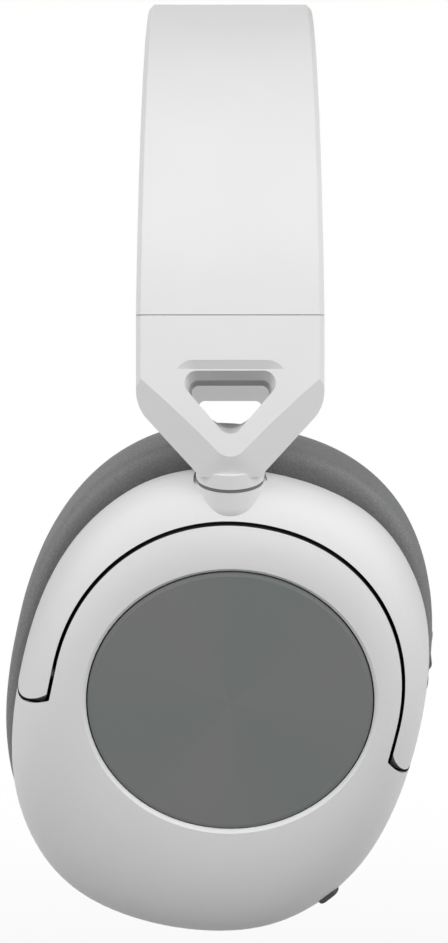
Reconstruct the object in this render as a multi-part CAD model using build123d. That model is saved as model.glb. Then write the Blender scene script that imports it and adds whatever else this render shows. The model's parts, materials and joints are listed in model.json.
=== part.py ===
"""Wireless over-ear gaming headset, built as an assembly. Millimetres, +Z up.

The wearer faces -Y, so the left cup is on +X and the right cup on -X. The origin is
the point where the crown of the head touches the headband cushion.
"""
from build123d import *
from math import copysign, cos, pi, radians, sin, sqrt
import os

os.makedirs("parts", exist_ok=True)

# ---------------------------------------------------------------- headband
CROWN_HEIGHT = 18.5        # outside of the band above the head, at the crown
ARCH_RADIUS = 74.5         # outside radius of the half-round band
BAND_WIDTH = 38.2          # front to back, at the two seams
BAND_WIDTH_CROWN = 36.0    # the band narrows a little towards the crown
BAND_DEPTH = 9.0           # from the outside to the underside of the inner cover
BAND_WALL = 2.0            # skin and flanges of the outer cover
BAND_EDGE = 1.0            # bevel along the outer edges
INNER_COVER_WALL = 1.8
SPRING_THICKNESS = 1.0
SPRING_WIDTH = 22.0
CUSHION_WIDTH = 33.0
CUSHION_ANGLE = 56.0       # half of the arc that the cushion covers
CUSHION_END = 4.5          # thickness of the cushion at its two ends
LEAD_DIAMETER = 1.8        # lead between the cups, where it lies in the band
SEAT_GAP = 0.3             # spring band and lead above the inner cover they lie on

# ---------------------------------------------------------------- slider
SLIDE_TRAVEL = 20.0
SLIDE_ANGLE = 10.0         # the slider leans outwards as it comes out
STRIP_THICKNESS = 1.0
STRIP_WIDTH = 18.0
STRIP_INSIDE = 28.0        # length inside the band when closed
STRIP_IN_BLOCK = 7.6
STRIP_DEPTH = 4.6          # strip centre behind the outside of the band, at the seam
GUIDE_LENGTH = 31.0
GUIDE_WIDTH = 28.0
SEAM_GAP = 0.1

# ---------------------------------------------------------------- end block
BLOCK_RADIUS = 230.0       # curve of the outside of the block
BLOCK_DEPTH = 8.8          # thickness at the seam
BLOCK_SHOULDER = 18.6      # seam to the corner where the flanks begin
BLOCK_CORNER = 8.2         # rounding of that corner
FLANK_WIDTH = 12.1         # how far each flank runs inwards
FLANK_DROP = 13.2          # how far each flank runs down
FACET_TOP = 13.0           # seam to the top of the bevelled V
FACET_TIP = 28.3           # seam to the tip of the bevelled V
FACET_TIP_ROUND = 3.5
FACET_SLOPE = 27.0
FACET_LEAN = 4.5           # the V leans in towards its tip
HOLE_TOP = 11.2            # seam to the top of the triangular hole
HOLE_TIP = 25.4            # seam to the unrounded tip of the hole
HOLE_HALF = 12.2           # unrounded half width of the hole
HOLE_ROUND = 2.5
HOLE_ROOF_DROP = 3.8       # the roof of the hole comes down towards the head
HOLE_BACK_ROUND = 1.2
HOLE_BACK_TIP_ROUND = 6.5  # the floor of the hole fills out towards the head
HOLE_MOUTH_TOP = 8.9       # seam to the top of the bevelled mouth
HOLE_MOUTH_TIP = 26.7
HOLE_MOUTH_HALF = 16.6
HOLE_MOUTH_ROUND = 4.0
HOLE_BEVEL_DEPTH = 1.2
LID_THICKNESS = 2.6
LID_LENGTH = 24.5

# ---------------------------------------------------------------- swivel
SWIVEL_INSET = 11.24       # swivel centre inside the arch's outside radius
SWIVEL_DROP = 33.16        # swivel centre below the seam
NECK_DIAMETER = 14.0
NECK_LENGTH = 9.0
NECK_SHOWN = 2.6           # the block ends this far above the swivel
NECK_BARE = 3.5            # above this the front of the neck is cut flush with the block
NECK_CLEARANCE = 0.6       # notch in the shell around the turning neck
WASHER_THICKNESS = 0.8
SWIVEL_PIN_DIAMETER = 5.0
SWIVEL_PIN_UP = 8.0        # length of the pin in the block
RUNNING_FIT = 0.04         # radial clearance of every pin that turns
PRESS_FIT = 0.01
CLIP_DIAMETER = 8.4
CLIP_THICKNESS = 0.8

# ---------------------------------------------------------------- cup
CUP_LEAN_IN = 22.0         # the cups hang with their bottoms towards each other
CUP_LEAN_FRONT = 12.0      # and the tops of the cups lean to the front
CUP_ABOVE_SWIVEL = 0.6     # top of the cup above the swivel's centre
SWIVEL_DEPTH = 9.0         # swivel axis behind the face of the cup
CUP_HALF_WIDTH = 43.3
CUP_HALF_HEIGHT = 54.9
CUP_SQUARENESS = 2.35      # power of the oval: 2 is an ellipse, more is fuller
CUP_CENTRE_DROP = 6.9      # oval's centre below the side plate's centre
CUP_CENTRE_BACK = 1.0      # and behind it
CUP_FACE_RADIUS = 32.2     # where the flat face turns into the domed side
CUP_DOME = 11.6            # depth of the domed side
CUP_DEPTH = 15.2           # face to the rim that the baffle closes
CUP_TUCK = 1.2             # the rim is drawn in by this
CUP_WALL = 2.0
FACE_RIM = 2.2             # flat face left round the side plate
PLATE_THICKNESS = 1.5
PLATE_BEVEL = 0.8
PLATE_GAP = 0.32
PLATE_SUNK = 0.3           # face of the plate behind the face of the cup
PLATE_MOUTH = 0.75         # bevel of the shell around the plate

# ---------------------------------------------------------------- fork
FORK_ARM_WIDTH = 6.1       # side of the cup to the inner edge of the fork
FORK_CROWN = 7.3           # top of the cup to the inner edge of the fork
FORK_DEPTH = 12.8          # back of the fork behind the face of the cup
FORK_OPEN_BACK = 0.85      # middle of the fork's opening behind the middle of the side plate
FORK_OPEN_POWER = 2.1
FORK_GAP = 0.7             # groove between fork and shell
PIVOT_DROP = 4.0           # tilt pivots below the plate's centre
PIVOT_DEPTH = 7.3          # and behind the face of the cup
ARM_END_RADIUS = 6.5
ARM_ROUND = 1.6
TILT_PIN_DIAMETER = 3.0
TILT_PIN_IN_ARM = 3.6
TILT_PIN_IN_SHELL = 4.4
BOSS_LENGTH = 8.5
BOSS_ROUND = 5.0

# ---------------------------------------------------------------- sound
BAFFLE_THICKNESS = 1.6
BAFFLE_REACH = 3.0         # the baffle's edge inside the shell's outline
DRIVER_DIAMETER = 44.0
DRIVER_DEPTH = 4.0
MAGNET_DIAMETER = 22.0
MAGNET_DEPTH = 4.5
DIAPHRAGM_THICKNESS = 0.4
CLOTH_THICKNESS = 0.7
PAD_OVER_SIDES = 2.2       # the pad is larger than the cup by this on each side
PAD_OVER_ENDS = 2.7        # and at the top and the bottom
PAD_RAISED = 1.8           # middle of the pad above the middle of the cup
PAD_BACK = 0.7             # and behind it
PAD_THICKNESS = 15.4
PAD_OPENING_HALF_WIDTH = 25.5
PAD_OPENING_HALF_HEIGHT = 37.0
PAD_CLEARANCE = 0.3

# ---------------------------------------------------------------- screws
SCREW_DIAMETER = 1.8
SCREW_HEAD_DIAMETER = 3.6
SCREW_HEAD_HEIGHT = 1.2
SCREW_LENGTH = 6.0
SCREW_BOSS_DIAMETER = 5.0
SCREW_BELOW_TOP = 15.0     # upper cup screw below the top of the cup
SCREW_ABOVE_BOTTOM = 17.8  # lower cup screws above the bottom of the cup
SCREW_SPREAD = 25.0        # and each side of the middle

# ---------------------------------------------------------------- controls
BUTTON_LENGTH = 5.6
BUTTON_WIDTH = 3.4
BUTTON_PROUD = 0.35
BUTTON_TRAVEL = 0.6
BUTTON_STEM = 2.6          # how far a button reaches in behind the wall's outside
BUTTON_DEPTH = 9.2         # middle of the buttons behind the face of the cup
BUTTON_FIT = 0.12
WHEEL_DIAMETER = 16.0
WHEEL_THICKNESS = 3.2
WHEEL_PROUD = 1.6
WHEEL_RIBS = 36
WHEEL_ANGLE = -16.0        # all angles are round the oval, from the back, upwards
MUTE_ANGLE = -36.0
POWER_ANGLE = -54.0
LIGHT_ANGLE = -67.0
PORT_ANGLE = -81.0
SOCKET_ANGLE = -99.0
PRESET_ANGLE = -137.0
PORT_DEPTH = 10.4          # middle of port, socket and light behind the face of the cup
PORT_WIDTH = 8.94
PORT_HEIGHT = 3.26
PORT_LENGTH = 7.4
PORT_WALL = 0.3
PORT_TONGUE = 0.7
SOCKET_BORE = 3.6
SOCKET_BODY = 6.0
SOCKET_LENGTH = 14.0
LIGHT_DIAMETER = 1.8
BATTERY_SIZE = (34.0, 20.0, 5.0)
BOARD_SIZE = (34.0, 20.0, 1.2)
BOARD_ABOVE_BOTTOM = 19.4  # middle of the board above the bottom of the cup

# ---------------------------------------------------------------- microphone
HUB_INSIDE = 10.3          # hub centre inside the front edge of the cup
HUB_ABOVE_BOTTOM = 31.8
HUB_DIAMETER = 14.0
HUB_HEIGHT = 4.1
HUB_SEAT = 0.6             # seat of the hub behind the face of the cup
HUB_CLEARANCE = 0.4        # recess round the hub
HUB_PIN_DIAMETER = 4.0
HUB_PIN_LENGTH = 8.0
BOOM_DIAMETER = 3.4
BOOM_OUTSIDE = 3.2         # boom centre in front of the front edge of the cup
CAPSULE_DIAMETER = 5.6
CAPSULE_LENGTH = 16.0
FOAM_DIAMETER = 8.0
FOAM_LENGTH = 13.0

# ---------------------------------------------------------------- derived
SEAM_Z = CROWN_HEIGHT - ARCH_RADIUS
BAND_INSIDE = ARCH_RADIUS - BAND_DEPTH
CAVITY_OUTER = ARCH_RADIUS - BAND_WALL
CAVITY_INNER = BAND_INSIDE + INNER_COVER_WALL
CUP_TOP = CUP_HALF_HEIGHT - CUP_CENTRE_DROP
CUP_BOTTOM = CUP_HALF_HEIGHT + CUP_CENTRE_DROP
PLATE_DROP = CUP_TOP - CUP_ABOVE_SWIVEL
PLATE_DIAMETER = 2 * (CUP_FACE_RADIUS - FACE_RIM)
FORK_OPEN_HALF = CUP_HALF_WIDTH - FORK_ARM_WIDTH
FORK_OPEN_TOP = CUP_TOP - FORK_CROWN
SHELL_TOP = FORK_OPEN_TOP - FORK_GAP
SHELL_HALF = FORK_OPEN_HALF - FORK_GAP
CUP_CENTRE = (CUP_CENTRE_BACK, -CUP_CENTRE_DROP)
PAD_HALF_WIDTH = CUP_HALF_WIDTH + PAD_OVER_SIDES
PAD_HALF_HEIGHT = CUP_HALF_HEIGHT + PAD_OVER_ENDS
PAD_CENTRE = (CUP_CENTRE_BACK + PAD_BACK, PAD_RAISED - CUP_CENTRE_DROP)

lean_in = radians(CUP_LEAN_IN)
lean_front = radians(CUP_LEAN_FRONT)
swivel_up = Vector(sin(lean_in), 0, cos(lean_in))
cup_out = Vector(cos(lean_in), 0, -sin(lean_in))
cup_back = Vector(sin(lean_front) * sin(lean_in), cos(lean_front), sin(lean_front) * cos(lean_in))
swivel_centre = Vector(ARCH_RADIUS - SWIVEL_INSET, 0, SEAM_Z - SWIVEL_DROP)
plate_centre = swivel_centre - swivel_up * PLATE_DROP + cup_out * SWIVEL_DEPTH
cup_plane = Plane(origin=plate_centre, x_dir=cup_back, z_dir=cup_out)
swivel_plane = Plane(origin=swivel_centre, x_dir=(0, 1, 0), z_dir=swivel_up)

slide_lean = radians(SLIDE_ANGLE)
slide_out = Vector(sin(slide_lean), 0, -cos(slide_lean))
strip_seam = Vector(ARCH_RADIUS - STRIP_DEPTH, 0, SEAM_Z)

BIG = 200.0
UPWARDS = (Align.CENTER, Align.CENTER, Align.MIN)
DOWNWARDS = (Align.CENTER, Align.CENTER, Align.MAX)
nodes = {}


def both_sides(name, shape):
    """Keep a left-hand piece and its mirror image on the right."""
    nodes[name + "_left"] = shape
    nodes[name + "_right"] = mirror(shape, about=Plane.YZ)


def on_cup(shape):
    """Move a piece from the cup's own frame (x back, y up, z out) to its place."""
    return cup_plane.location * shape


def oval_point(half_width, half_height, angle, power=2.0):
    """Point of an oval round the origin; the angle runs from its back, upwards."""
    across = copysign(abs(cos(angle)) ** (2 / power), cos(angle))
    along = copysign(abs(sin(angle)) ** (2 / power), sin(angle))
    return Vector(half_width * across, half_height * along, 0)


def oval(half_width, half_height, depth=0.0, centre=(0.0, 0.0), power=2.0, count=16):
    """A flat oval across the cup, this far behind its face."""
    middle = Vector(centre[0], centre[1], -depth)
    points = [
        middle + oval_point(half_width, half_height, 2 * pi * i / count, power)
        for i in range(count)
    ]
    even_steps = [i / count for i in range(count + 1)]
    return Face(Wire([Edge.make_spline(points, periodic=True, parameters=even_steps)]))


def pin(start, direction, diameter, length):
    """A round pin from a point along a direction."""
    return Plane(origin=start, z_dir=direction) * Cylinder(diameter / 2, length, align=UPWARDS)


# ================================================================ headband
def arch(outer, inner, margin=0.0, low=0.0, high=180.0):
    """A stretch of the arched band between two radii, narrowed by a margin each side."""
    ring = Circle(outer) - Circle(inner)
    section = ring & (Pos(0, outer) * Rectangle(2 * outer, 2 * outer))
    if low > 0 or high < 180:
        reach = 2 * outer
        corners = [(0, 0)]
        for step in range(5):
            angle = radians(low + (high - low) * step / 4)
            corners.append((reach * cos(angle), reach * sin(angle)))
        section = section & make_face(Polyline(*corners, close=True))
    band = extrude(Plane.XZ * Pos(0, SEAM_Z) * section, amount=BAND_WIDTH, both=True)
    top = CROWN_HEIGHT + 1
    wide = BAND_WIDTH / 2 - margin
    narrow = BAND_WIDTH_CROWN / 2 - margin
    sides = Polyline((wide, SEAM_Z), (narrow, top), (-narrow, top), (-wide, SEAM_Z), close=True)
    front_view = extrude(Plane.YZ * make_face(sides), amount=ARCH_RADIUS + 1, both=True)
    return band & front_view


def end_cut(length):
    """The lowest stretch of a band, from the seam upwards."""
    return Pos(0, 0, SEAM_Z) * Box(4 * ARCH_RADIUS, 2 * BAND_WIDTH, 2 * length)


def outer_cover():
    cover = arch(ARCH_RADIUS, BAND_INSIDE)
    cover = chamfer(cover.edges().sort_by(Edge.length)[-2:], BAND_EDGE)
    cover = cover - arch(CAVITY_OUTER, BAND_INSIDE - 1, margin=BAND_WALL)
    return cover - end_cut(SEAM_GAP)


def inner_cover():
    cover = arch(CAVITY_INNER, BAND_INSIDE, margin=BAND_WALL + 0.1)
    return cover - end_cut(SEAM_GAP)


def spring_band():
    guide_angle = GUIDE_LENGTH / ARCH_RADIUS * 180 / pi + 3.0
    inside = CAVITY_INNER + SEAT_GAP
    margin = (BAND_WIDTH - SPRING_WIDTH) / 2
    return arch(inside + SPRING_THICKNESS, inside, margin, guide_angle, 180 - guide_angle)


def band_lead():
    """The lead lies beside the spring band, inside the band's back edge."""
    guide_angle = radians(GUIDE_LENGTH / ARCH_RADIUS * 180 / pi + 3.0)
    radius = CAVITY_INNER + SEAT_GAP + LEAD_DIAMETER / 2
    offset = (SPRING_WIDTH / 2 + BAND_WIDTH_CROWN / 2 - BAND_WALL) / 2
    start = (radius * cos(guide_angle), offset, SEAM_Z + radius * sin(guide_angle))
    end = (-start[0], offset, start[2])
    path = ThreePointArc(start, (0, offset, SEAM_Z + radius), end)
    profile = Plane(origin=start, z_dir=path % 0) * Circle(LEAD_DIAMETER / 2)
    return sweep(profile, path)


def head_cushion():
    """A crescent under the crown, thick in the middle and thin at both ends."""
    seat = BAND_INSIDE - PAD_CLEARANCE
    end = radians(90 - CUSHION_ANGLE)
    tip = seat - CUSHION_END
    outer_end = (seat * cos(end), seat * sin(end))
    outside = ThreePointArc((-outer_end[0], outer_end[1]), (0, seat), outer_end)
    low_end = (tip * cos(end), tip * sin(end))
    inside = ThreePointArc(low_end, (0, ARCH_RADIUS - CROWN_HEIGHT), (-low_end[0], low_end[1]))
    right_end = Line(outside @ 1, inside @ 0)
    left_end = Line(inside @ 1, outside @ 0)
    face = make_face(Curve() + [outside, right_end, inside, left_end])
    cushion = extrude(Plane.XZ * Pos(0, SEAM_Z) * face, amount=CUSHION_WIDTH / 2, both=True)
    lower_edges = cushion.edges().filter_by(GeomType.CIRCLE).sort_by(Edge.length)[:2]
    return fillet(lower_edges, CUSHION_END * 0.8)


def along_strip(start, end, width, thickness):
    """A flat bar in line with the slider's strip; distances are from the seam, outwards."""
    plane = Plane(origin=strip_seam + slide_out * start, x_dir=(0, 1, 0), z_dir=slide_out)
    return plane * Box(width, thickness, end - start, align=UPWARDS)


def slider_guide():
    angle = GUIDE_LENGTH / ARCH_RADIUS * 180 / pi
    margin = (BAND_WIDTH - GUIDE_WIDTH) / 2
    guide = arch(CAVITY_OUTER - 0.1, CAVITY_INNER + 0.1, margin, 0, angle) - end_cut(SEAM_GAP)
    slot = along_strip(-2 * STRIP_INSIDE, SLIDE_TRAVEL, STRIP_WIDTH + 0.4, STRIP_THICKNESS + 0.3)
    return guide - slot


nodes["headband_outer_cover"] = outer_cover()
nodes["headband_inner_cover"] = inner_cover()
nodes["spring_band"] = spring_band()
nodes["headband_lead"] = band_lead()
nodes["head_cushion"] = head_cushion()
both_sides("slider_guide", slider_guide())


# ================================================================ slider and end block
def slider_strip():
    strip = along_strip(-STRIP_INSIDE, STRIP_IN_BLOCK, STRIP_WIDTH, STRIP_THICKNESS)
    notch_pitch = 2.0
    notches = int(SLIDE_TRAVEL / notch_pitch)
    for i in range(notches + 1):
        middle = strip_seam - slide_out * (4.0 + i * notch_pitch)
        for side in (-1, 1):
            edge = middle + Vector(0, side * STRIP_WIDTH / 2, 0)
            strip -= pin(edge - cup_out * 3, cup_out, 0.9, 6)
    return strip


def block_profile(front, back):
    """Side view of the block between two depths behind its curved outside."""
    drop = SWIVEL_DROP + 6

    def face_x(down, depth):
        curve = BLOCK_RADIUS - sqrt(BLOCK_RADIUS ** 2 - down ** 2)
        spread = depth + (depth / BLOCK_DEPTH) * 4.6 * (down / drop) ** 2
        return ARCH_RADIUS - curve - spread

    top = SEAM_Z - SEAM_GAP / 2
    steps = (0, drop / 2, drop)
    near = [(face_x(down, front), top - down) for down in steps]
    far = [(face_x(down, back), top - down) for down in steps]
    outline = Curve() + [
        ThreePointArc(*near),
        Line(near[2], far[2]),
        ThreePointArc(far[2], far[1], far[0]),
        Line(far[0], near[0]),
    ]
    return extrude(Plane.XZ * make_face(outline), amount=BAND_WIDTH, both=True)


def block_front():
    """Front view of the block: straight sides, round corners and two flanks."""
    half = BAND_WIDTH / 2
    low = SEAM_Z - BLOCK_SHOULDER
    tip = half - FLANK_WIDTH
    bottom = low - FLANK_DROP
    right = [(half, SEAM_Z), (half, low), (tip, bottom), (tip, bottom - 20)]
    left = [(-y, z) for y, z in reversed(right)]
    face = make_face(Polyline(*right, *left, close=True))
    corners = [v for v in face.vertices() if abs(v.Y - low) < 0.01]
    face = fillet(corners, BLOCK_CORNER)
    return extrude(Plane.YZ * face, amount=2 * ARCH_RADIUS)


def facet_plane(depth):
    """A plane along the leaning front of the block, with the seam at its height 0."""
    lean = radians(FACET_LEAN)
    out = Vector(cos(lean), 0, -sin(lean))
    middle = Vector(ARCH_RADIUS, 0, SEAM_Z)
    return Plane(origin=middle - out * depth, x_dir=(0, 1, 0), z_dir=out)


def v_outline(grow, depth):
    """The flat front of the block, a wide V with a round tip, grown outwards."""
    half = BAND_WIDTH / 2 - 1.3
    slope = (FACET_TIP - FACET_TOP + 1.2) / half
    rise = 60.0
    tip_z = -(FACET_TIP + 1.2) - grow * sqrt(1 + slope ** 2)
    spread = (rise - tip_z) / slope
    face = make_face(Polyline((0, tip_z), (spread, rise), (-spread, rise), close=True))
    tip = face.vertices().sort_by(Axis.Y)[0]
    face = fillet(tip, FACET_TIP_ROUND + grow)
    return facet_plane(depth) * face


def facet_keep():
    """The space that the bevelled V leaves of the block's front."""
    growth = 16.0
    fall = growth * sin(radians(FACET_SLOPE)) / cos(radians(FACET_SLOPE))
    front_depth = -0.7
    flat = extrude(v_outline(0, front_depth), amount=6)
    slope = loft([v_outline(0, front_depth), v_outline(growth, front_depth + fall)], ruled=True)
    back = extrude(v_outline(growth, front_depth + fall), amount=-30)
    return flat + slope + back


def hole_outline(plane, half, top, tip, top_round, tip_round):
    face = make_face(Polyline((-half, -top), (half, -top), (0, -tip), close=True))
    corners = face.vertices().sort_by(Axis.Y)
    face = fillet(corners[0], tip_round)
    tops = face.vertices().sort_by(Axis.Y)[-2:]
    face = fillet(tops, top_round)
    return plane * face


def block_hole():
    """Triangular hole: bevelled mouth, and a roof that slopes down towards the head."""
    ratio = HOLE_HALF / (HOLE_TIP - HOLE_TOP)
    front_x = ARCH_RADIUS - 1.6
    back_x = front_x - BLOCK_DEPTH - 2.4
    back_top = HOLE_TOP + HOLE_ROOF_DROP
    back_half = (HOLE_TIP - back_top) * ratio
    front_plane = Plane(origin=(front_x, 0, SEAM_Z), x_dir=(0, 1, 0), z_dir=(1, 0, 0))
    back_plane = Plane(origin=(back_x, 0, SEAM_Z), x_dir=(0, 1, 0), z_dir=(1, 0, 0))
    front = hole_outline(front_plane, HOLE_HALF, HOLE_TOP, HOLE_TIP, HOLE_ROUND, HOLE_ROUND)
    back = hole_outline(
        back_plane, back_half, back_top, HOLE_TIP, HOLE_BACK_ROUND, HOLE_BACK_TIP_ROUND)
    tunnel = loft([front, back], ruled=True)
    tunnel += extrude(front, amount=6) + extrude(back, amount=-6)
    just_outside = -0.6
    mouth = hole_outline(
        facet_plane(just_outside), HOLE_MOUTH_HALF, HOLE_MOUTH_TOP, HOLE_MOUTH_TIP,
        HOLE_MOUTH_ROUND, HOLE_MOUTH_ROUND)
    throat = hole_outline(
        facet_plane(just_outside + HOLE_BEVEL_DEPTH), HOLE_HALF, HOLE_TOP, HOLE_TIP,
        HOLE_ROUND, HOLE_ROUND)
    return tunnel + loft([throat, mouth], ruled=True)


def end_block():
    whole = block_profile(0, BLOCK_DEPTH) & block_front() & facet_keep()
    near_seam = whole.edges().filter_by(lambda e: e.center().Z > SEAM_Z - 8)
    outside = near_seam.filter_by(lambda e: e.center().X > ARCH_RADIUS - 1.0)
    long_edges = [e for e in outside if abs(e.center().Y) > BAND_WIDTH / 2 - 0.1]
    whole = chamfer(long_edges, BAND_EDGE)
    below = swivel_plane * (Pos(0, 0, NECK_SHOWN) * Box(BIG, BIG, BIG, align=DOWNWARDS))
    neck = Pos(0, 0, WASHER_THICKNESS / 2) * Cylinder(NECK_DIAMETER / 2, NECK_LENGTH, align=UPWARDS)
    bare = Pos(0, 0, NECK_BARE) * Box(BIG, BIG, BIG, align=DOWNWARDS)
    low_neck = swivel_plane * (neck & bare)
    high_neck = (swivel_plane * (neck - bare)) & block_profile(0, BLOCK_DEPTH + 20) & facet_keep()
    return (whole - below + high_neck + low_neck) - block_hole()


def lid_space(margin):
    slab = block_profile(BLOCK_DEPTH - LID_THICKNESS - margin, BLOCK_DEPTH + 20)
    length = LID_LENGTH + margin
    limit = Pos(0, 0, SEAM_Z + 1) * Box(4 * ARCH_RADIUS, 2 * BAND_WIDTH, length + 1, align=DOWNWARDS)
    return slab & limit


def lid_screw_places():
    side = BAND_WIDTH / 2 - 4.6
    return [Vector(ARCH_RADIUS - BLOCK_DEPTH, side * s, SEAM_Z - 14.5) for s in (-1, 1)]


def screw(head_seat, direction, length=SCREW_LENGTH):
    """A screw whose head sits on a point; the thread points along the direction."""
    shank = pin(head_seat, direction, SCREW_DIAMETER, length)
    head = pin(head_seat, -Vector(*direction), SCREW_HEAD_DIAMETER, SCREW_HEAD_HEIGHT)
    head_top = Vector(*head_seat) - Vector(*direction) * SCREW_HEAD_HEIGHT
    slot_plane = Plane(origin=head_top, z_dir=direction)
    reach = SCREW_HEAD_DIAMETER * 0.6
    drive = slot_plane * (Box(0.6, reach, 1.0) + Box(reach, 0.6, 1.0))
    return head + shank - drive


swivel_bottom = FORK_OPEN_TOP - PLATE_DROP + 0.5
swivel_pin_low = swivel_bottom + 0.15
clip_low = swivel_pin_low + 0.5

block = end_block()
strip_slot = along_strip(-1, STRIP_IN_BLOCK + 0.05, STRIP_WIDTH + 0.04, STRIP_THICKNESS + 0.04)
pin_hole = pin(swivel_centre, swivel_up, SWIVEL_PIN_DIAMETER + 2 * PRESS_FIT, SWIVEL_PIN_UP + 0.05)
lid = (block & lid_space(0)) - strip_slot
body = block - lid_space(0.03) - strip_slot - pin_hole
lid_screws = []
for place in lid_screw_places():
    seat = place + Vector(1.0, 0, 0)
    lid -= pin(place - Vector(4, 0, 0), (1, 0, 0), SCREW_HEAD_DIAMETER + 0.2, 5.0)
    hole = pin(seat, (1, 0, 0), SCREW_DIAMETER + 2 * PRESS_FIT, SCREW_LENGTH - 1.0)
    lid -= hole
    body -= hole
    lid_screws.append(screw(seat, (1, 0, 0), SCREW_LENGTH - 1.2))
both_sides("slider_strip", slider_strip())
both_sides("end_block", body)
both_sides("end_block_lid", lid)
both_sides("end_block_screws", Compound(lid_screws))


# ================================================================ swivel
def along_swivel(shape):
    return swivel_plane.location * shape


def swivel_washer():
    ring = Cylinder(NECK_DIAMETER / 2 - 0.15, WASHER_THICKNESS - 0.02)
    return along_swivel(ring - Cylinder(SWIVEL_PIN_DIAMETER / 2 + PRESS_FIT, 2))


def swivel_pin():
    length = SWIVEL_PIN_UP - swivel_pin_low
    shaft = Pos(0, 0, swivel_pin_low) * Cylinder(SWIVEL_PIN_DIAMETER / 2, length, align=UPWARDS)
    wire_way = Pos(0, 0, swivel_pin_low) * Cylinder(1.2, length, align=UPWARDS)
    groove_ring = Cylinder(SWIVEL_PIN_DIAMETER, CLIP_THICKNESS + 0.02, align=UPWARDS)
    groove_ring -= Cylinder(SWIVEL_PIN_DIAMETER / 2 - 0.5, CLIP_THICKNESS + 0.02, align=UPWARDS)
    return along_swivel(shaft - wire_way - Pos(0, 0, clip_low - 0.01) * groove_ring)


def swivel_clip():
    ring = Cylinder(CLIP_DIAMETER / 2, CLIP_THICKNESS, align=UPWARDS)
    ring -= Cylinder(SWIVEL_PIN_DIAMETER / 2 - 0.5 + PRESS_FIT, CLIP_THICKNESS, align=UPWARDS)
    mouth = Pos(0, CLIP_DIAMETER / 2, 0) * Box(2.6, CLIP_DIAMETER, 3 * CLIP_THICKNESS)
    return along_swivel(Pos(0, 0, clip_low) * (ring - mouth))


both_sides("swivel_washer", swivel_washer())
both_sides("swivel_pin", swivel_pin())
both_sides("swivel_clip", swivel_clip())


# ================================================================ cup body and fork
def domed_cup(inset=0.0):
    """The whole outside of the cup, fork included, or the same drawn in by a wall."""
    sections = []
    for growth in (0.0, 0.25, 0.5, 0.72, 0.88, 0.97, 1.0):
        depth = CUP_DOME * (1 - sqrt(1 - growth ** 2)) + inset
        half_width = CUP_FACE_RADIUS + (CUP_HALF_WIDTH - CUP_FACE_RADIUS) * growth - inset
        half_height = CUP_FACE_RADIUS + (CUP_HALF_HEIGHT - CUP_FACE_RADIUS) * growth - inset
        centre = (CUP_CENTRE_BACK * growth, -CUP_CENTRE_DROP * growth)
        power = 2 + (CUP_SQUARENESS - 2) * growth
        sections.append(oval(half_width, half_height, depth, centre, power))
    rim_depth = CUP_DEPTH + inset
    rim_width = CUP_HALF_WIDTH - CUP_TUCK - inset
    rim_height = CUP_HALF_HEIGHT - CUP_TUCK - inset
    sections.append(oval(rim_width, rim_height, rim_depth, CUP_CENTRE, CUP_SQUARENESS))
    return loft(sections)


def opening_outline(half, top):
    """Half oval above, straight sides below."""
    upper = oval(half, top, power=FORK_OPEN_POWER) & (Pos(0, top) * Rectangle(4 * half, 2 * top))
    lower = Rectangle(2 * half, 3 * top, align=(Align.CENTER, Align.MAX))
    return Pos(FORK_OPEN_BACK, 0) * (upper + lower)


def fork_space(gap):
    """The room that the fork takes in the cup, with a gap all round."""
    depth = FORK_DEPTH + gap
    big = 3 * CUP_HALF_HEIGHT
    upper = (Align.CENTER, Align.MIN, Align.MIN)
    slab = Pos(0, -PIVOT_DROP, -depth) * Box(big, big, depth + 20, align=upper)
    ends = Pos(0, -PIVOT_DROP, -PIVOT_DEPTH) * Rot(0, 90, 0) * Cylinder(ARM_END_RADIUS + gap, big)
    above_back = Pos(0, 0, -depth) * Box(big, big, depth + 20, align=UPWARDS)
    room = slab + (ends & above_back)
    inside = extrude(opening_outline(FORK_OPEN_HALF - gap, FORK_OPEN_TOP - gap), amount=30, both=True)
    return room - inside


def pivot_line(x_from, diameter, length, side):
    """A pin or bore on the tilt axis, starting this far from the middle of the fork."""
    start = Vector(FORK_OPEN_BACK + side * x_from, -PIVOT_DROP, -PIVOT_DEPTH)
    return pin(start, (side, 0, 0), diameter, length)


dome = domed_cup()
swivel_in_cup = Plane(
    origin=(sin(lean_front) * PLATE_DROP, cos(lean_front) * PLATE_DROP, -SWIVEL_DEPTH),
    z_dir=(sin(lean_front), cos(lean_front), 0),
)


def fork():
    bore = Cylinder(SWIVEL_PIN_DIAMETER / 2 + RUNNING_FIT, 40)
    recess_top = clip_low + CLIP_THICKNESS + 0.2
    recess = Pos(0, 0, recess_top) * Cylinder(CLIP_DIAMETER / 2 + 0.3, 10, align=DOWNWARDS)
    top_cut = Cylinder(NECK_DIAMETER / 2 + NECK_CLEARANCE, 30, align=UPWARDS)
    top_cut = Pos(0, 0, -WASHER_THICKNESS / 2) * top_cut
    cuts = swivel_in_cup.location * (bore + recess + top_cut)
    room = fork_space(0)
    for side in (-1, 1):
        pin_bore = TILT_PIN_DIAMETER + 2 * PRESS_FIT
        room -= pivot_line(FORK_OPEN_HALF - 1, pin_bore, TILT_PIN_IN_ARM + 1, side)
    boss = Cylinder(NECK_DIAMETER / 2, BOSS_LENGTH, align=DOWNWARDS)
    boss = fillet(boss.faces().sort_by(Axis.Z)[0].edges(), BOSS_ROUND)
    boss = Pos(0, 0, -WASHER_THICKNESS / 2) * boss
    behind = Pos(0, 0, -FORK_DEPTH) * Box(BIG, BIG, BIG, align=DOWNWARDS)
    inside = extrude(opening_outline(FORK_OPEN_HALF, FORK_OPEN_TOP), amount=30, both=True)
    boss = swivel_in_cup.location * boss - inside - behind - cuts
    return (dome & (room - cuts)) + boss


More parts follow.
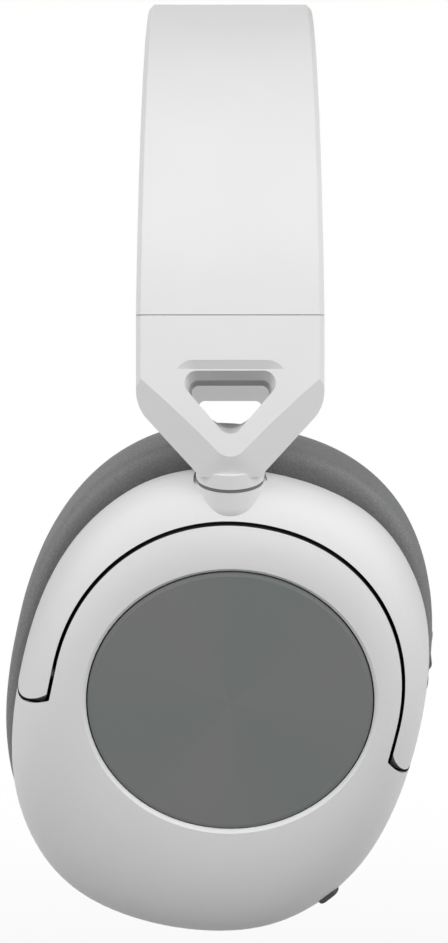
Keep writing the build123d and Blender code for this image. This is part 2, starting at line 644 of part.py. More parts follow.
def tilt_pins():
    pins = []
    for side in (-1, 1):
        length = TILT_PIN_IN_ARM + FORK_GAP + TILT_PIN_IN_SHELL - 0.1
        pins.append(pivot_line(SHELL_HALF - TILT_PIN_IN_SHELL, TILT_PIN_DIAMETER, length, side))
    return Compound(pins)


both_sides("fork", on_cup(fork()))
both_sides("tilt_pins", on_cup(tilt_pins()))


# ================================================================ places round the cup's edge
def edge_place(angle, depth=BUTTON_DEPTH):
    """Plane on the cup's outline at an angle; z points straight out of the edge."""
    growth = sqrt(max(0.0, 1 - (max(0.0, CUP_DOME - depth) / CUP_DOME) ** 2))
    half_width = CUP_FACE_RADIUS + (CUP_HALF_WIDTH - CUP_FACE_RADIUS) * growth
    half_height = CUP_FACE_RADIUS + (CUP_HALF_HEIGHT - CUP_FACE_RADIUS) * growth
    power = 2 + (CUP_SQUARENESS - 2) * growth
    centre = Vector(CUP_CENTRE_BACK * growth, -CUP_CENTRE_DROP * growth, -depth)
    point = oval_point(half_width, half_height, radians(angle), power)
    steepness_x = abs(point.X / half_width) ** (power - 1) / half_width
    steepness_y = abs(point.Y / half_height) ** (power - 1) / half_height
    normal = Vector(copysign(steepness_x, point.X), copysign(steepness_y, point.Y), 0)
    normal = normal.normalized()
    return Plane(origin=centre + point, x_dir=(-normal.Y, normal.X, 0), z_dir=normal)


def button(angle):
    """A long round-ended button in the edge of the cup."""
    outline = SlotOverall(BUTTON_LENGTH, BUTTON_WIDTH)
    cap = Pos(0, 0, -BUTTON_STEM) * extrude(outline, amount=BUTTON_STEM + BUTTON_PROUD)
    cap = fillet(cap.faces().sort_by(Axis.Z)[-1].edges(), 0.45)
    return edge_place(angle).location * cap


def button_hole(angle):
    """The hole for a button, right through the wall, with room for its travel."""
    outline = SlotOverall(BUTTON_LENGTH + 2 * BUTTON_FIT, BUTTON_WIDTH + 2 * BUTTON_FIT)
    behind = BUTTON_STEM + BUTTON_TRAVEL + CUP_WALL
    hole = Pos(0, 0, -behind) * extrude(outline, amount=behind + CUP_WALL)
    return edge_place(angle).location * hole


# ================================================================ shell
screw_low = SCREW_ABOVE_BOTTOM - CUP_BOTTOM
SCREW_PLACES = (
    (0.0, CUP_TOP - SCREW_BELOW_TOP),
    (-SCREW_SPREAD, screw_low),
    (SCREW_SPREAD, screw_low),
)
board_back = CUP_DEPTH - 0.1


def plain_shell():
    shell = dome - fork_space(FORK_GAP)
    front_wall = PLATE_SUNK + PLATE_THICKNESS + CUP_WALL
    below_arms = -PIVOT_DROP - ARM_END_RADIUS - FORK_GAP - CUP_WALL
    behind_plate = Pos(0, below_arms, -front_wall) * Box(
        BIG, BIG, BIG, align=(Align.CENTER, Align.MAX, Align.MAX))
    drum_outline = opening_outline(SHELL_HALF - CUP_WALL, SHELL_TOP - CUP_WALL)
    drum_outline &= Pos(0, below_arms) * Rectangle(BIG, BIG, align=(Align.CENTER, Align.MIN))
    drum = Pos(0, 0, -front_wall) * extrude(drum_outline, amount=-CUP_DEPTH)
    hollow = (domed_cup(CUP_WALL) & behind_plate) + drum
    for side in (-1, 1):
        boss_x = FORK_OPEN_BACK + side * (SHELL_HALF - TILT_PIN_IN_SHELL - 0.6)
        outwards = Align.MIN if side > 0 else Align.MAX
        boss = Box(TILT_PIN_IN_SHELL, 7, 7, align=(outwards, Align.CENTER, Align.CENTER))
        hollow -= Pos(boss_x, -PIVOT_DROP, -PIVOT_DEPTH) * boss
    for x, y in SCREW_PLACES:
        hollow -= Pos(x, y, 0) * Cylinder(SCREW_BOSS_DIAMETER / 2, 100)
    shell -= hollow
    seat_radius = PLATE_DIAMETER / 2 + PLATE_GAP
    seat = Cylinder(seat_radius, 2 * (PLATE_SUNK + PLATE_THICKNESS))
    mouth = Cone(seat_radius, seat_radius + 2 * PLATE_MOUTH, 2 * PLATE_MOUTH, align=UPWARDS)
    shell -= seat + Pos(0, 0, -PLATE_MOUTH) * mouth
    neck_room = Cylinder(NECK_DIAMETER / 2 + NECK_CLEARANCE, 30, align=UPWARDS)
    shell -= swivel_in_cup.location * (Pos(0, 0, -WASHER_THICKNESS) * neck_room)
    pivot_bore = TILT_PIN_DIAMETER + 2 * RUNNING_FIT
    for side in (-1, 1):
        bore_start = SHELL_HALF - TILT_PIN_IN_SHELL - 0.1
        shell -= pivot_line(bore_start, pivot_bore, TILT_PIN_IN_SHELL + 3, side)
    screw_hole = Cylinder(SCREW_DIAMETER / 2 + PRESS_FIT, SCREW_LENGTH + 1, align=UPWARDS)
    for x, y in SCREW_PLACES:
        shell -= Pos(x, y, -CUP_DEPTH - 1) * screw_hole
    return shell


wheel_edge = edge_place(WHEEL_ANGLE)
wheel_centre = wheel_edge.origin - wheel_edge.z_dir * (WHEEL_DIAMETER / 2 - WHEEL_PROUD)
hub_centre = Vector(HUB_INSIDE - CUP_HALF_WIDTH, HUB_ABOVE_BOTTOM - CUP_BOTTOM, -HUB_SEAT)
port_place = edge_place(PORT_ANGLE, PORT_DEPTH)
socket_place = edge_place(SOCKET_ANGLE, PORT_DEPTH)
light_place = edge_place(LIGHT_ANGLE, PORT_DEPTH)


def left_shell(shell):
    """The left shell also holds the controls, the ports and the microphone."""
    hub_boss = Pos(hub_centre) * Cylinder(HUB_DIAMETER / 2 + 0.8, CUP_WALL + 2.6, align=DOWNWARDS)
    hub_tower = Pos(hub_centre) * Cylinder(HUB_PIN_DIAMETER / 2 + 2.0, HUB_PIN_LENGTH, align=DOWNWARDS)
    hub_room = Pos(hub_centre) * Cylinder(HUB_DIAMETER / 2 + HUB_CLEARANCE, BIG, align=UPWARDS)
    shell = shell + hub_boss + hub_tower - hub_room
    hub_bore = Pos(hub_centre) * Cylinder(HUB_PIN_DIAMETER / 2 + RUNNING_FIT, BIG)
    wheel_slot = Pos(wheel_centre) * Cylinder(WHEEL_DIAMETER / 2 + 0.5, WHEEL_THICKNESS + 0.8)
    shell -= hub_bore + wheel_slot
    shell -= button_hole(MUTE_ANGLE)
    shell -= button_hole(POWER_ANGLE)
    port_hole = extrude(SlotOverall(PORT_WIDTH + 0.1, PORT_HEIGHT + 0.1), amount=20, both=True)
    shell -= port_place.location * port_hole
    shell -= socket_place.location * Cylinder(SOCKET_BODY / 2 + PRESS_FIT, 40)
    shell -= light_place.location * Cylinder(LIGHT_DIAMETER / 2 + PRESS_FIT, 12)
    return shell


shell = plain_shell()
nodes["cup_shell_left"] = on_cup(left_shell(shell))
right_shell = on_cup(shell - button_hole(PRESET_ANGLE))
nodes["cup_shell_right"] = mirror(right_shell, about=Plane.YZ)


def side_plate():
    plate = Cylinder(PLATE_DIAMETER / 2, PLATE_THICKNESS, align=DOWNWARDS)
    plate = chamfer(plate.faces().sort_by(Axis.Z)[-1].edges(), PLATE_BEVEL * 0.4, PLATE_BEVEL)
    return Pos(0, 0, -PLATE_SUNK) * plate


# ================================================================ sound
driver_centre = (CUP_CENTRE_BACK, -CUP_CENTRE_DROP)
baffle_front = CUP_DEPTH + 0.02
baffle_back = baffle_front + BAFFLE_THICKNESS


def baffle():
    reach = CUP_TUCK + BAFFLE_REACH
    half_width = CUP_HALF_WIDTH - reach
    half_height = CUP_HALF_HEIGHT - reach
    outline = oval(half_width, half_height, baffle_front, CUP_CENTRE, CUP_SQUARENESS)
    plate = extrude(outline, amount=BAFFLE_THICKNESS, dir=(0, 0, -1))
    for ring_radius, count, diameter in ((0.0, 1, 6.0), (8.0, 6, 5.0), (15.0, 12, 4.2)):
        for i in range(count):
            angle = 2 * pi * i / count
            x = driver_centre[0] + ring_radius * cos(angle)
            y = driver_centre[1] + ring_radius * sin(angle)
            plate -= Pos(x, y, -baffle_front) * Cylinder(diameter / 2, 10)
    screw_hole = Cylinder(SCREW_DIAMETER / 2 + 0.1, 10)
    head_recess = Cylinder(SCREW_HEAD_DIAMETER / 2 + 0.1, 2 * SCREW_HEAD_HEIGHT)
    for x, y in SCREW_PLACES:
        plate -= Pos(x, y, -baffle_front) * screw_hole
        plate -= Pos(x, y, -baffle_back) * head_recess
    return plate


def driver_frame():
    ring = Cylinder(DRIVER_DIAMETER / 2, DRIVER_DEPTH, align=UPWARDS)
    ring -= Cylinder(DRIVER_DIAMETER / 2 - 1.6, DRIVER_DEPTH - 1.2, align=UPWARDS)
    ring -= Cylinder(MAGNET_DIAMETER / 2 - 1.5, 20, align=UPWARDS)
    vent = Pos((MAGNET_DIAMETER + DRIVER_DIAMETER) / 4, 0, 0) * Cylinder(2.0, 20, align=UPWARDS)
    for i in range(6):
        ring -= Rot(0, 0, 60 * i) * vent
    return Pos(*driver_centre, -CUP_DEPTH) * ring


def driver_magnet():
    magnet = Cylinder(MAGNET_DIAMETER / 2, MAGNET_DEPTH, align=UPWARDS)
    return Pos(*driver_centre, -CUP_DEPTH + DRIVER_DEPTH) * magnet


def diaphragm():
    radius = DRIVER_DIAMETER / 2 - 1.7
    cone = Cone(radius, radius * 0.45, 1.6, align=UPWARDS)
    inner = Pos(0, 0, -DIAPHRAGM_THICKNESS) * Cone(radius, radius * 0.45, 1.6, align=UPWARDS)
    ring = Cylinder(radius, DIAPHRAGM_THICKNESS, align=UPWARDS)
    cap = Cylinder(radius * 0.45, DIAPHRAGM_THICKNESS, align=UPWARDS)
    cap = Pos(0, 0, 1.6 - DIAPHRAGM_THICKNESS) * cap
    shape = (cone - inner) + (ring - Cylinder(radius - 1.2, 4)) + cap
    return Pos(*driver_centre, -CUP_DEPTH + 0.1) * shape


def speaker_cloth():
    half_width = PAD_OPENING_HALF_WIDTH - PAD_CLEARANCE
    half_height = PAD_OPENING_HALF_HEIGHT - PAD_CLEARANCE
    outline = oval(half_width, half_height, baffle_back + 0.02, PAD_CENTRE)
    return extrude(outline, amount=CLOTH_THICKNESS, dir=(0, 0, -1))


def ear_pad():
    """A soft oval ring with a round outer side and a flat back."""
    start = baffle_back + PAD_CLEARANCE
    sections = []
    for fraction, inset in ((0.0, 1.6), (0.14, 0.4), (0.4, 0.0), (0.72, 0.0), (0.9, 1.2), (1.0, 4.6)):
        depth = start + PAD_THICKNESS * fraction
        half_width = PAD_HALF_WIDTH - inset
        half_height = PAD_HALF_HEIGHT - inset
        sections.append(oval(half_width, half_height, depth, PAD_CENTRE, CUP_SQUARENESS))
    pad = loft(sections)
    outline = oval(PAD_OPENING_HALF_WIDTH, PAD_OPENING_HALF_HEIGHT, start - 1, PAD_CENTRE)
    return pad - extrude(outline, amount=PAD_THICKNESS + 4, dir=(0, 0, -1))


def cup_screws():
    screws = []
    for x, y in SCREW_PLACES:
        seat = Vector(x, y, -baffle_back + SCREW_HEAD_HEIGHT)
        screws.append(screw(seat, (0, 0, 1), SCREW_LENGTH - BAFFLE_THICKNESS))
    return Compound(screws)


both_sides("side_plate", on_cup(side_plate()))
both_sides("baffle", on_cup(baffle()))
both_sides("driver_frame", on_cup(driver_frame()))
both_sides("driver_magnet", on_cup(driver_magnet()))
both_sides("diaphragm", on_cup(diaphragm()))
both_sides("speaker_cloth", on_cup(speaker_cloth()))
both_sides("ear_pad", on_cup(ear_pad()))
both_sides("cup_screws", on_cup(cup_screws()))


# ================================================================ electronics and controls
def volume_wheel():
    wheel = Cylinder(WHEEL_DIAMETER / 2, WHEEL_THICKNESS)
    wheel = chamfer(wheel.edges(), 0.4)
    groove = Pos(WHEEL_DIAMETER / 2, 0, 0) * Cylinder(0.35, WHEEL_THICKNESS)
    for i in range(WHEEL_RIBS):
        wheel -= Rot(0, 0, 360 * i / WHEEL_RIBS) * groove
    wheel -= Cylinder(1.0 + RUNNING_FIT, WHEEL_THICKNESS)
    return Pos(wheel_centre) * wheel


def volume_encoder():
    below = wheel_centre - Vector(0, 0, WHEEL_THICKNESS / 2 + 0.25)
    base = Pos(below) * Box(7, 7, 1.6, align=DOWNWARDS)
    shaft = Pos(below) * Cylinder(1.0, WHEEL_THICKNESS + 0.2, align=UPWARDS)
    return base + shaft


def usb_port():
    body = extrude(SlotOverall(PORT_WIDTH, PORT_HEIGHT), amount=-PORT_LENGTH)
    inner = SlotOverall(PORT_WIDTH - 2 * PORT_WALL, PORT_HEIGHT - 2 * PORT_WALL)
    body -= extrude(inner, amount=-(PORT_LENGTH - 1.2))
    tongue = Pos(0, 0, -0.8) * Box(PORT_WIDTH - 2.6, PORT_TONGUE, PORT_LENGTH - 1.6, align=DOWNWARDS)
    return port_place.location * (Pos(0, 0, -0.2) * (body + tongue))


def audio_socket():
    body = Cylinder(SOCKET_BODY / 2, SOCKET_LENGTH, align=DOWNWARDS)
    body -= Cylinder(SOCKET_BORE / 2, 3 * SOCKET_LENGTH)
    return socket_place.location * (Pos(0, 0, -0.3) * body)


def status_light():
    return light_place.location * Cylinder(LIGHT_DIAMETER / 2, 3.0, align=DOWNWARDS)


board_place = Pos(CUP_CENTRE_BACK, BOARD_ABOVE_BOTTOM - CUP_BOTTOM, -board_back)


def board():
    width, height, thick = BOARD_SIZE
    return board_place * Box(width, height, thick, align=UPWARDS)


def battery():
    width, height, thick = BATTERY_SIZE
    cell = Box(width, height, thick, align=UPWARDS)
    cell = fillet(cell.edges().filter_by(Axis.X), 1.2)
    return board_place * cell


nodes["volume_wheel"] = on_cup(volume_wheel())
nodes["volume_encoder"] = on_cup(volume_encoder())
nodes["usb_c_port"] = on_cup(usb_port())
nodes["audio_socket"] = on_cup(audio_socket())
nodes["status_light"] = on_cup(status_light())
nodes["circuit_board"] = on_cup(board())
nodes["mute_button"] = on_cup(button(MUTE_ANGLE))
nodes["power_button"] = on_cup(button(POWER_ANGLE))
nodes["battery"] = mirror(on_cup(battery()), about=Plane.YZ)
nodes["preset_button"] = mirror(on_cup(button(PRESET_ANGLE)), about=Plane.YZ)


# ================================================================ microphone
boom_start = hub_centre + Vector(0, 0, 0.35 + HUB_HEIGHT / 2)
boom_side = -CUP_HALF_WIDTH - BOOM_OUTSIDE
boom_route = [
    boom_start,
    boom_start + Vector(-7.4, 7.4, -0.6),
    Vector(boom_side + 1.0, -10.0, -3.4),
    Vector(boom_side, 0.0, -5.0),
    Vector(boom_side - 0.4, 7.0, -5.4),
]
boom_way = Vector(-7.4, 6.4, -0.3)
capsule_start = boom_route[-1]
capsule_way = Vector(3.8, 13.5, 0)


def mic_hub():
    hub = Pos(hub_centre + Vector(0, 0, 0.1)) * Cylinder(HUB_DIAMETER / 2, HUB_HEIGHT, align=UPWARDS)
    hub = fillet(hub.faces().sort_by(Axis.Z)[-1].edges(), 0.8)
    return hub - pin(hub_centre, (0, 0, 1), HUB_PIN_DIAMETER + 2 * PRESS_FIT, HUB_HEIGHT - 1)


def mic_hub_pin():
    start = hub_centre - Vector(0, 0, HUB_PIN_LENGTH)
    return pin(start, (0, 0, 1), HUB_PIN_DIAMETER, HUB_PIN_LENGTH + HUB_HEIGHT - 1.1)


def boom_arm():
    path = Spline(*boom_route, tangents=[boom_way, capsule_way])
    profile = Plane(origin=boom_route[0], z_dir=path % 0) * Circle(BOOM_DIAMETER / 2)
    arm = sweep(profile, path)
    return arm - Pos(hub_centre) * Cylinder(HUB_DIAMETER / 2 + 0.01, 3 * HUB_HEIGHT)


def along_capsule(diameter, start, length, rounding):
    plane = Plane(origin=capsule_start + capsule_way.normalized() * start, z_dir=capsule_way)
    shape = Cylinder(diameter / 2, length, align=UPWARDS)
    return plane.location * fillet(shape.edges(), rounding)


capsule = along_capsule(CAPSULE_DIAMETER, 0.02, CAPSULE_LENGTH, 1.6)
capsule_room = along_capsule(CAPSULE_DIAMETER + 0.04, 0.0, CAPSULE_LENGTH + 0.04, 1.6)
foam = along_capsule(FOAM_DIAMETER, 5.5, FOAM_LENGTH, 3.2)
nodes["mic_hub"] = on_cup(mic_hub())
nodes["mic_hub_pin"] = on_cup(mic_hub_pin())
nodes["boom_arm"] = on_cup(boom_arm())
nodes["mic_capsule"] = on_cup(capsule)
nodes["mic_foam"] = on_cup(foam - capsule_room)


for name, shape in nodes.items():
    export_step(shape, f"parts/{name}.step")
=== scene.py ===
import json
import math

import bmesh
import bpy
from bpy.props import FloatProperty, FloatVectorProperty, IntProperty, PointerProperty
from mathutils import Matrix, Vector, noise


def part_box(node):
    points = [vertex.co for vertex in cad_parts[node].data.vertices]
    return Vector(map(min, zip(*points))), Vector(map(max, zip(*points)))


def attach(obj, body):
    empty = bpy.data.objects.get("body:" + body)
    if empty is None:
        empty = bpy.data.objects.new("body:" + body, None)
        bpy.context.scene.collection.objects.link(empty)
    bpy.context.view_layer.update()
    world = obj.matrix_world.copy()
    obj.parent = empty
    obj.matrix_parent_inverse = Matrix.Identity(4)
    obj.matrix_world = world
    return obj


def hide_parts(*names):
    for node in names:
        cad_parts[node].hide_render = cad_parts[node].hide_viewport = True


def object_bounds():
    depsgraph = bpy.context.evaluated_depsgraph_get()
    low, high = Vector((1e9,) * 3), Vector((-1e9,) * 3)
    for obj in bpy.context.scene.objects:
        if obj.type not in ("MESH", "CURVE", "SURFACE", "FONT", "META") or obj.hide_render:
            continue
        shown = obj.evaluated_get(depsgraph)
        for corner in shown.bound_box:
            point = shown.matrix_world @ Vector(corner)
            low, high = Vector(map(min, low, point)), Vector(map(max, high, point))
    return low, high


bl_info = {
    "name": "Headset finishes",
    "version": (1, 0, 0),
    "blender": (4, 5, 0),
    "location": "3D View > Sidebar > Headset",
    "description": "Finishes and soft parts of a wireless over-ear headset, on its packed model",
    "category": "Object",
}

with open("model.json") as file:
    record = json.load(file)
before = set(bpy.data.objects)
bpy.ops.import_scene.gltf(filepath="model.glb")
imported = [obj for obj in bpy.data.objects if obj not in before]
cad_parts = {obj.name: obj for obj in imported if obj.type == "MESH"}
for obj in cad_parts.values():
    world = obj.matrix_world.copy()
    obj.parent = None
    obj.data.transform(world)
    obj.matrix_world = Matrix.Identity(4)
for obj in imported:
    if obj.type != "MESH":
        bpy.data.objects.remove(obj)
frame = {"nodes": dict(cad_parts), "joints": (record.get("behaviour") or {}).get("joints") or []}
CAD_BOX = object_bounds()
JOINTS = {joint["name"]: joint for joint in frame["joints"]}
SIDES = ("left", "right")
MM = 0.001
BOTH_HANDS = {"left": Vector((1.0, 1.0, 1.0)), "right": Vector((-1.0, 1.0, 1.0))}

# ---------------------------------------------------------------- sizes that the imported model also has
FACE_ABOVE_PLATE_MM = 1.05           # face of the cup above the middle of the side plate's thickness
FORK_OPEN_BACK = 0.85 * MM           # middle of the fork's opening behind the side plate's middle
FORK_OPEN_POWER = 2.1
FORK_OPEN_HALF = 37.2 * MM
FORK_OPEN_TOP = 40.7 * MM
FORK_GAP = 0.7 * MM
FORK_DEPTH = 12.8 * MM
PIVOT_DROP = 4.0 * MM
PIVOT_DEPTH = 7.3 * MM
ARM_END_RADIUS = 6.5 * MM
PLATE_SEAT_RADIUS = 30.32 * MM
PLATE_SEAT_DEPTH = 0.78 * MM         # the seat's wall gets painted shade below this
WALL_SKIN = 0.03 * MM                # how far the painted shade of a gap wall reaches past its drawn surface
FOAM_ALONG = (3.8, 13.5)             # direction of the microphone's tip: back and up
FOAM_HALF_LENGTH = 6.5 * MM
FOAM_RADIUS = 3.75 * MM
PAD_POWER = 2.35
BAND_HALF_ANGLE = 56.0               # degrees from the crown to the end of the head cushion's solid
CUSHION_HALF_ANGLE = 55.2
CUSHION_END_THICKNESS = 4.3 * MM

# ---------------------------------------------------------------- sizes of the scene alone
PAD_SEAM = 3.4 * MM                  # the pad's inner seam outside the opening
STITCH_THICKNESS = 0.42 * MM
WELT_DEPTH_MM = 0.42
WELT_PLACE = 0.80                    # the cushion's welts, as a share of its half width
FLOOR_DROP = 0.024                   # floor under the model's lowest point
FLOOR_HALF = 3.0
FLOOR_GREYS = ((0.25, 0.25, 0.25), (0.27, 0.27, 0.27))
CAMERA_PLACE = (-0.615, 0.0, -0.0866)
CAMERA_LENS = 102.1
CAMERA_SHIFT = (-0.0066, -0.0054)
LAMP_TARGET = (0.0, 0.0, -0.09)
LAMPS = (                            # name, place, side in metres and power in watts
    ("left_light", (-0.66, 0.92, 0.30), 1.1, 8.8),
    ("right_light", (-0.70, -0.88, 0.30), 1.1, 10.2),
    ("front_light", (-1.0, 0.0, 0.42), 1.2, 2.2),
    ("far_light", (0.90, 0.20, 0.40), 0.9, 2.2),
)
WORLD_LIGHT = 0.22


# ---------------------------------------------------------------- the cup's own frame
def cup_frame():
    """Origin and directions of the left cup: back, up and out of its face."""
    out = Vector(JOINTS["mic_boom_swing"]["axis"]).normalized()
    back = -Vector(JOINTS["cup_left_tilt"]["axis"]).normalized()
    up = out.cross(back).normalized()
    low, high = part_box("side_plate_left")
    plate_middle = (low + high) / 2
    return plate_middle + out * FACE_ABOVE_PLATE_MM * MM, back, up, out


CUP_ORIGIN, CUP_BACK, CUP_UP, CUP_OUT = cup_frame()


def cup_point(x, y, z):
    """A point of the left cup, in the row's frame; x, y and z are in metres."""
    return CUP_ORIGIN + CUP_BACK * x + CUP_UP * y + CUP_OUT * z


# ---------------------------------------------------------------- values a user may change
class HeadsetSizes(bpy.types.PropertyGroup):
    pad_half_width: FloatProperty(
        name="Pad half width", description="Half of the ear pad's outline, front to back",
        default=0.0449, min=0.03, max=0.06, subtype="DISTANCE", unit="LENGTH")
    pad_half_height: FloatProperty(
        name="Pad half height", description="Half of the ear pad's outline, bottom to top",
        default=0.0570, min=0.04, max=0.07, subtype="DISTANCE", unit="LENGTH")
    pad_thickness: FloatProperty(
        name="Pad thickness", description="Ear pad from its back to its face, before it swells",
        default=0.0147, min=0.008, max=0.025, subtype="DISTANCE", unit="LENGTH")
    pad_opening_width: FloatProperty(
        name="Opening half width", description="Half of the ear opening, front to back",
        default=0.0262, min=0.015, max=0.035, subtype="DISTANCE", unit="LENGTH")
    pad_opening_height: FloatProperty(
        name="Opening half height", description="Half of the ear opening, bottom to top",
        default=0.0377, min=0.02, max=0.05, subtype="DISTANCE", unit="LENGTH")
    pad_back: FloatProperty(
        name="Pad back", description="Back of the ear pad, measured from the face of the cup",
        default=0.01722, min=0.01, max=0.03, subtype="DISTANCE", unit="LENGTH")
    pad_behind: FloatProperty(
        name="Pad behind", description="Middle of the ear pad behind the middle of the side plate",
        default=0.0017, min=-0.01, max=0.01, subtype="DISTANCE", unit="LENGTH")
    pad_below: FloatProperty(
        name="Pad below", description="Middle of the ear pad below the middle of the side plate",
        default=0.0051, min=-0.01, max=0.02, subtype="DISTANCE", unit="LENGTH")
    pad_swell: FloatProperty(
        name="Pad swell", description="Most that the pad's skin moves as it fills",
        default=0.0006, min=0.0, max=0.003, subtype="DISTANCE", unit="LENGTH")
    pucker: FloatProperty(
        name="Seam pucker", description="Height of the small gathers along a seam",
        default=0.00028, min=0.0, max=0.001, subtype="DISTANCE", unit="LENGTH")
    gathers: IntProperty(
        name="Gathers", description="Gathers round the pad's inner seam", default=118, min=20, max=300)
    cushion_width: FloatProperty(
        name="Cushion width", description="Head cushion, front to back, before it swells",
        default=0.0322, min=0.02, max=0.04, subtype="DISTANCE", unit="LENGTH")


class HeadsetColours(bpy.types.PropertyGroup):
    white: FloatVectorProperty(
        name="White", description="Moulded white plastic", subtype="COLOR", size=3,
        min=0.0, max=1.0, default=(0.785, 0.785, 0.783))
    plate: FloatVectorProperty(
        name="Side plate", description="Grey of the spun side plate", subtype="COLOR", size=3,
        min=0.0, max=1.0, default=(0.178, 0.178, 0.178))
    # cooler grey of the side plate's painted reflection
    plate_cool_reflection: FloatVectorProperty(
        name="Side plate, cool", description="Cooler grey in every second sector",
        subtype="COLOR", size=3, min=0.0, max=1.0, default=(0.158, 0.175, 0.171))
    leather: FloatVectorProperty(
        name="Leather", description="Grey artificial leather", subtype="COLOR", size=3,
        min=0.0, max=1.0, default=(0.205, 0.207, 0.207))
    dark: FloatVectorProperty(
        name="Dark plastic", description="Charcoal plastic of controls and inner parts", subtype="COLOR",
        size=3, min=0.0, max=1.0, default=(0.05, 0.05, 0.054))
    steel: FloatVectorProperty(
        name="Steel", description="Bare steel", subtype="COLOR", size=3, min=0.0, max=1.0,
        default=(0.56, 0.57, 0.58))


def sizes():
    return bpy.context.scene.headset_sizes


def colours():
    return bpy.context.scene.headset_colours


# ---------------------------------------------------------------- materials
class Value:
    """An output of a node, used in Python expressions; each operator adds a Math node."""

    def __init__(self, finish, socket):
        self.finish = finish
        self.socket = socket

    def math(self, operation, first, second=None):
        settings = {"operation": operation}
        values = {0: first} if second is None else {0: first, 1: second}
        return self.finish.node("ShaderNodeMath", settings, values)

    def __add__(self, other):
        return self.math("ADD", self, other)

    __radd__ = __add__

    def __sub__(self, other):
        return self.math("SUBTRACT", self, other)

    def __rsub__(self, other):
        return self.math("SUBTRACT", other, self)

    def __mul__(self, other):
        return self.math("MULTIPLY", self, other)

    __rmul__ = __mul__

    def __truediv__(self, other):
        return self.math("DIVIDE", self, other)

    def __rtruediv__(self, other):
        return self.math("DIVIDE", other, self)

    def __pow__(self, other):
        return self.math("POWER", self, other)

    def __abs__(self):
        return self.math("ABSOLUTE", self)

    def cos(self):
        return self.math("COSINE", self)

    def sin(self):
        return self.math("SINE", self)

    def atan2(self, other):
        return self.math("ARCTAN2", self, other)

    def over(self, limit):
        """1 where the value is over the limit, and 0 elsewhere."""
        return self.math("GREATER_THAN", self, limit)


class Finish:
    """A material that is put together from nodes."""

    def __init__(self, name, sheen=0.0, coat=0.0, metallic=0.0, specular=0.5):
        self.material = bpy.data.materials.new(name)
        self.material.use_nodes = True
        self.tree = self.material.node_tree
        self.shader = self.tree.nodes["Principled BSDF"]
        self.set("Sheen Weight", sheen)
        self.set("Sheen Roughness", 0.45)
        self.set("Coat Weight", coat)
        self.set("Metallic", metallic)
        self.set("Specular IOR Level", specular)

    def node(self, kind, settings=None, inputs=None, output=0):
        """Add a node: its settings first, then the values or links of its sockets."""
        made = self.tree.nodes.new(kind)
        for key, value in (settings or {}).items():
            if key == "stops":
                ramp = made.color_ramp
                while len(ramp.elements) < len(value):
                    ramp.elements.new(1.0)
                for element, (position, colour) in zip(ramp.elements, value):
                    element.position = position
                    element.color = colour
            else:
                setattr(made, key, value)
        for key, value in (inputs or {}).items():
            self.put(made.inputs[key], value)
        return Value(self, made.outputs[output])

    def put(self, socket, value):
        """Link a value to a socket, or set it there."""
        if isinstance(value, Value):
            self.tree.links.new(value.socket, socket)
        elif socket.type == "RGBA" and len(value) == 3:
            socket.default_value = (*value, 1.0)
        else:
            socket.default_value = value

    def set(self, name, value):
        self.put(self.shader.inputs[name], value)

    def place(self):
        return self.node("ShaderNodeTexCoord", output="Object")

    def vector(self, operation, first, second, output=0):
        return self.node("ShaderNodeVectorMath", {"operation": operation}, {0: first, 1: second}, output)

    def along(self, point, direction):
        """How far a point lies along a direction, in metres."""
        return self.vector("DOT_PRODUCT", point, tuple(direction), "Value")

    def mix(self, factor, first, second):
        """A colour between two colours."""
        return self.node("ShaderNodeMix", {"data_type": "RGBA"}, {0: factor, 6: first, 7: second}, 2)

    def noise(self, size, detail=2.0, roughness=0.5, vector=None):
        """Noise from 0 to 1 whose grains are about this size, in metres."""
        inputs = {"Vector": vector or self.place(), "Scale": 1.0 / size, "Detail": detail,
                  "Roughness": roughness}
        return self.node("ShaderNodeTexNoise", {}, inputs)

    def cells(self, size, feature="F1", output="Distance", vector=None):
        inputs = {"Vector": vector or self.place(), "Scale": 1.0 / size}
        return self.node("ShaderNodeTexVoronoi", {"feature": feature}, inputs, output)

    def bump(self, height, strength, distance):
        inputs = {"Height": height, "Strength": strength, "Distance": distance}
        self.set("Normal", self.node("ShaderNodeBump", {}, inputs))


def shade(colour, factor):
    """A colour made lighter or darker, worked out here."""
    return tuple(min(1.0, part * factor) for part in colour)


FINISHES = {}


def finish_named(name):
    """Make a finish the first time that it is asked for."""
    if name not in FINISHES:
        FINISHES[name] = MAKERS[name](name)
    return FINISHES[name]


def moulded(name, colour, grain=0.00035, gloss=0.40, side=None):
    """Moulded plastic with a fine spark-eroded skin, with painted shade inside a cup's gaps if a side is
    given.
    """
    finish = Finish(name)
    cloud = finish.noise(0.022, 2.0)
    skin = finish.noise(grain, 3.0, 0.6)
    tint = finish.mix(cloud, shade(colour, 0.975), shade(colour, 1.02))
    if side:
        # painted shade: near-black on the walls of the cup's narrow gaps
        tint = finish.mix(painted_gap_shade(CupPlace(finish, side)), tint, shade(colour, 0.03))
    finish.set("Base Color", tint)
    finish.set("Roughness", gloss + 0.07 * skin + 0.05 * cloud)
    finish.bump(skin, 0.10, 0.00006)
    return finish.material


def white_plastic(name):
    return moulded(name, tuple(colours().white))


class CupPlace:
    """Where a point of a cup lies: back, up and behind the cup's face, and round its middle."""

    def __init__(self, finish, side):
        hand = BOTH_HANDS[side]
        from_middle = finish.vector("SUBTRACT", finish.place(), tuple(CUP_ORIGIN * hand))
        self.back = finish.along(from_middle, CUP_BACK * hand)
        self.up = finish.along(from_middle, CUP_UP * hand)
        self.depth = finish.along(from_middle, CUP_OUT * hand) * -1.0
        self.radius = (self.back * self.back + self.up * self.up) ** 0.5
        self.angle = self.up.atan2(self.back)


def within(value, low, high):
    """1 where the value lies between two limits."""
    return value.over(low) - value.over(high)


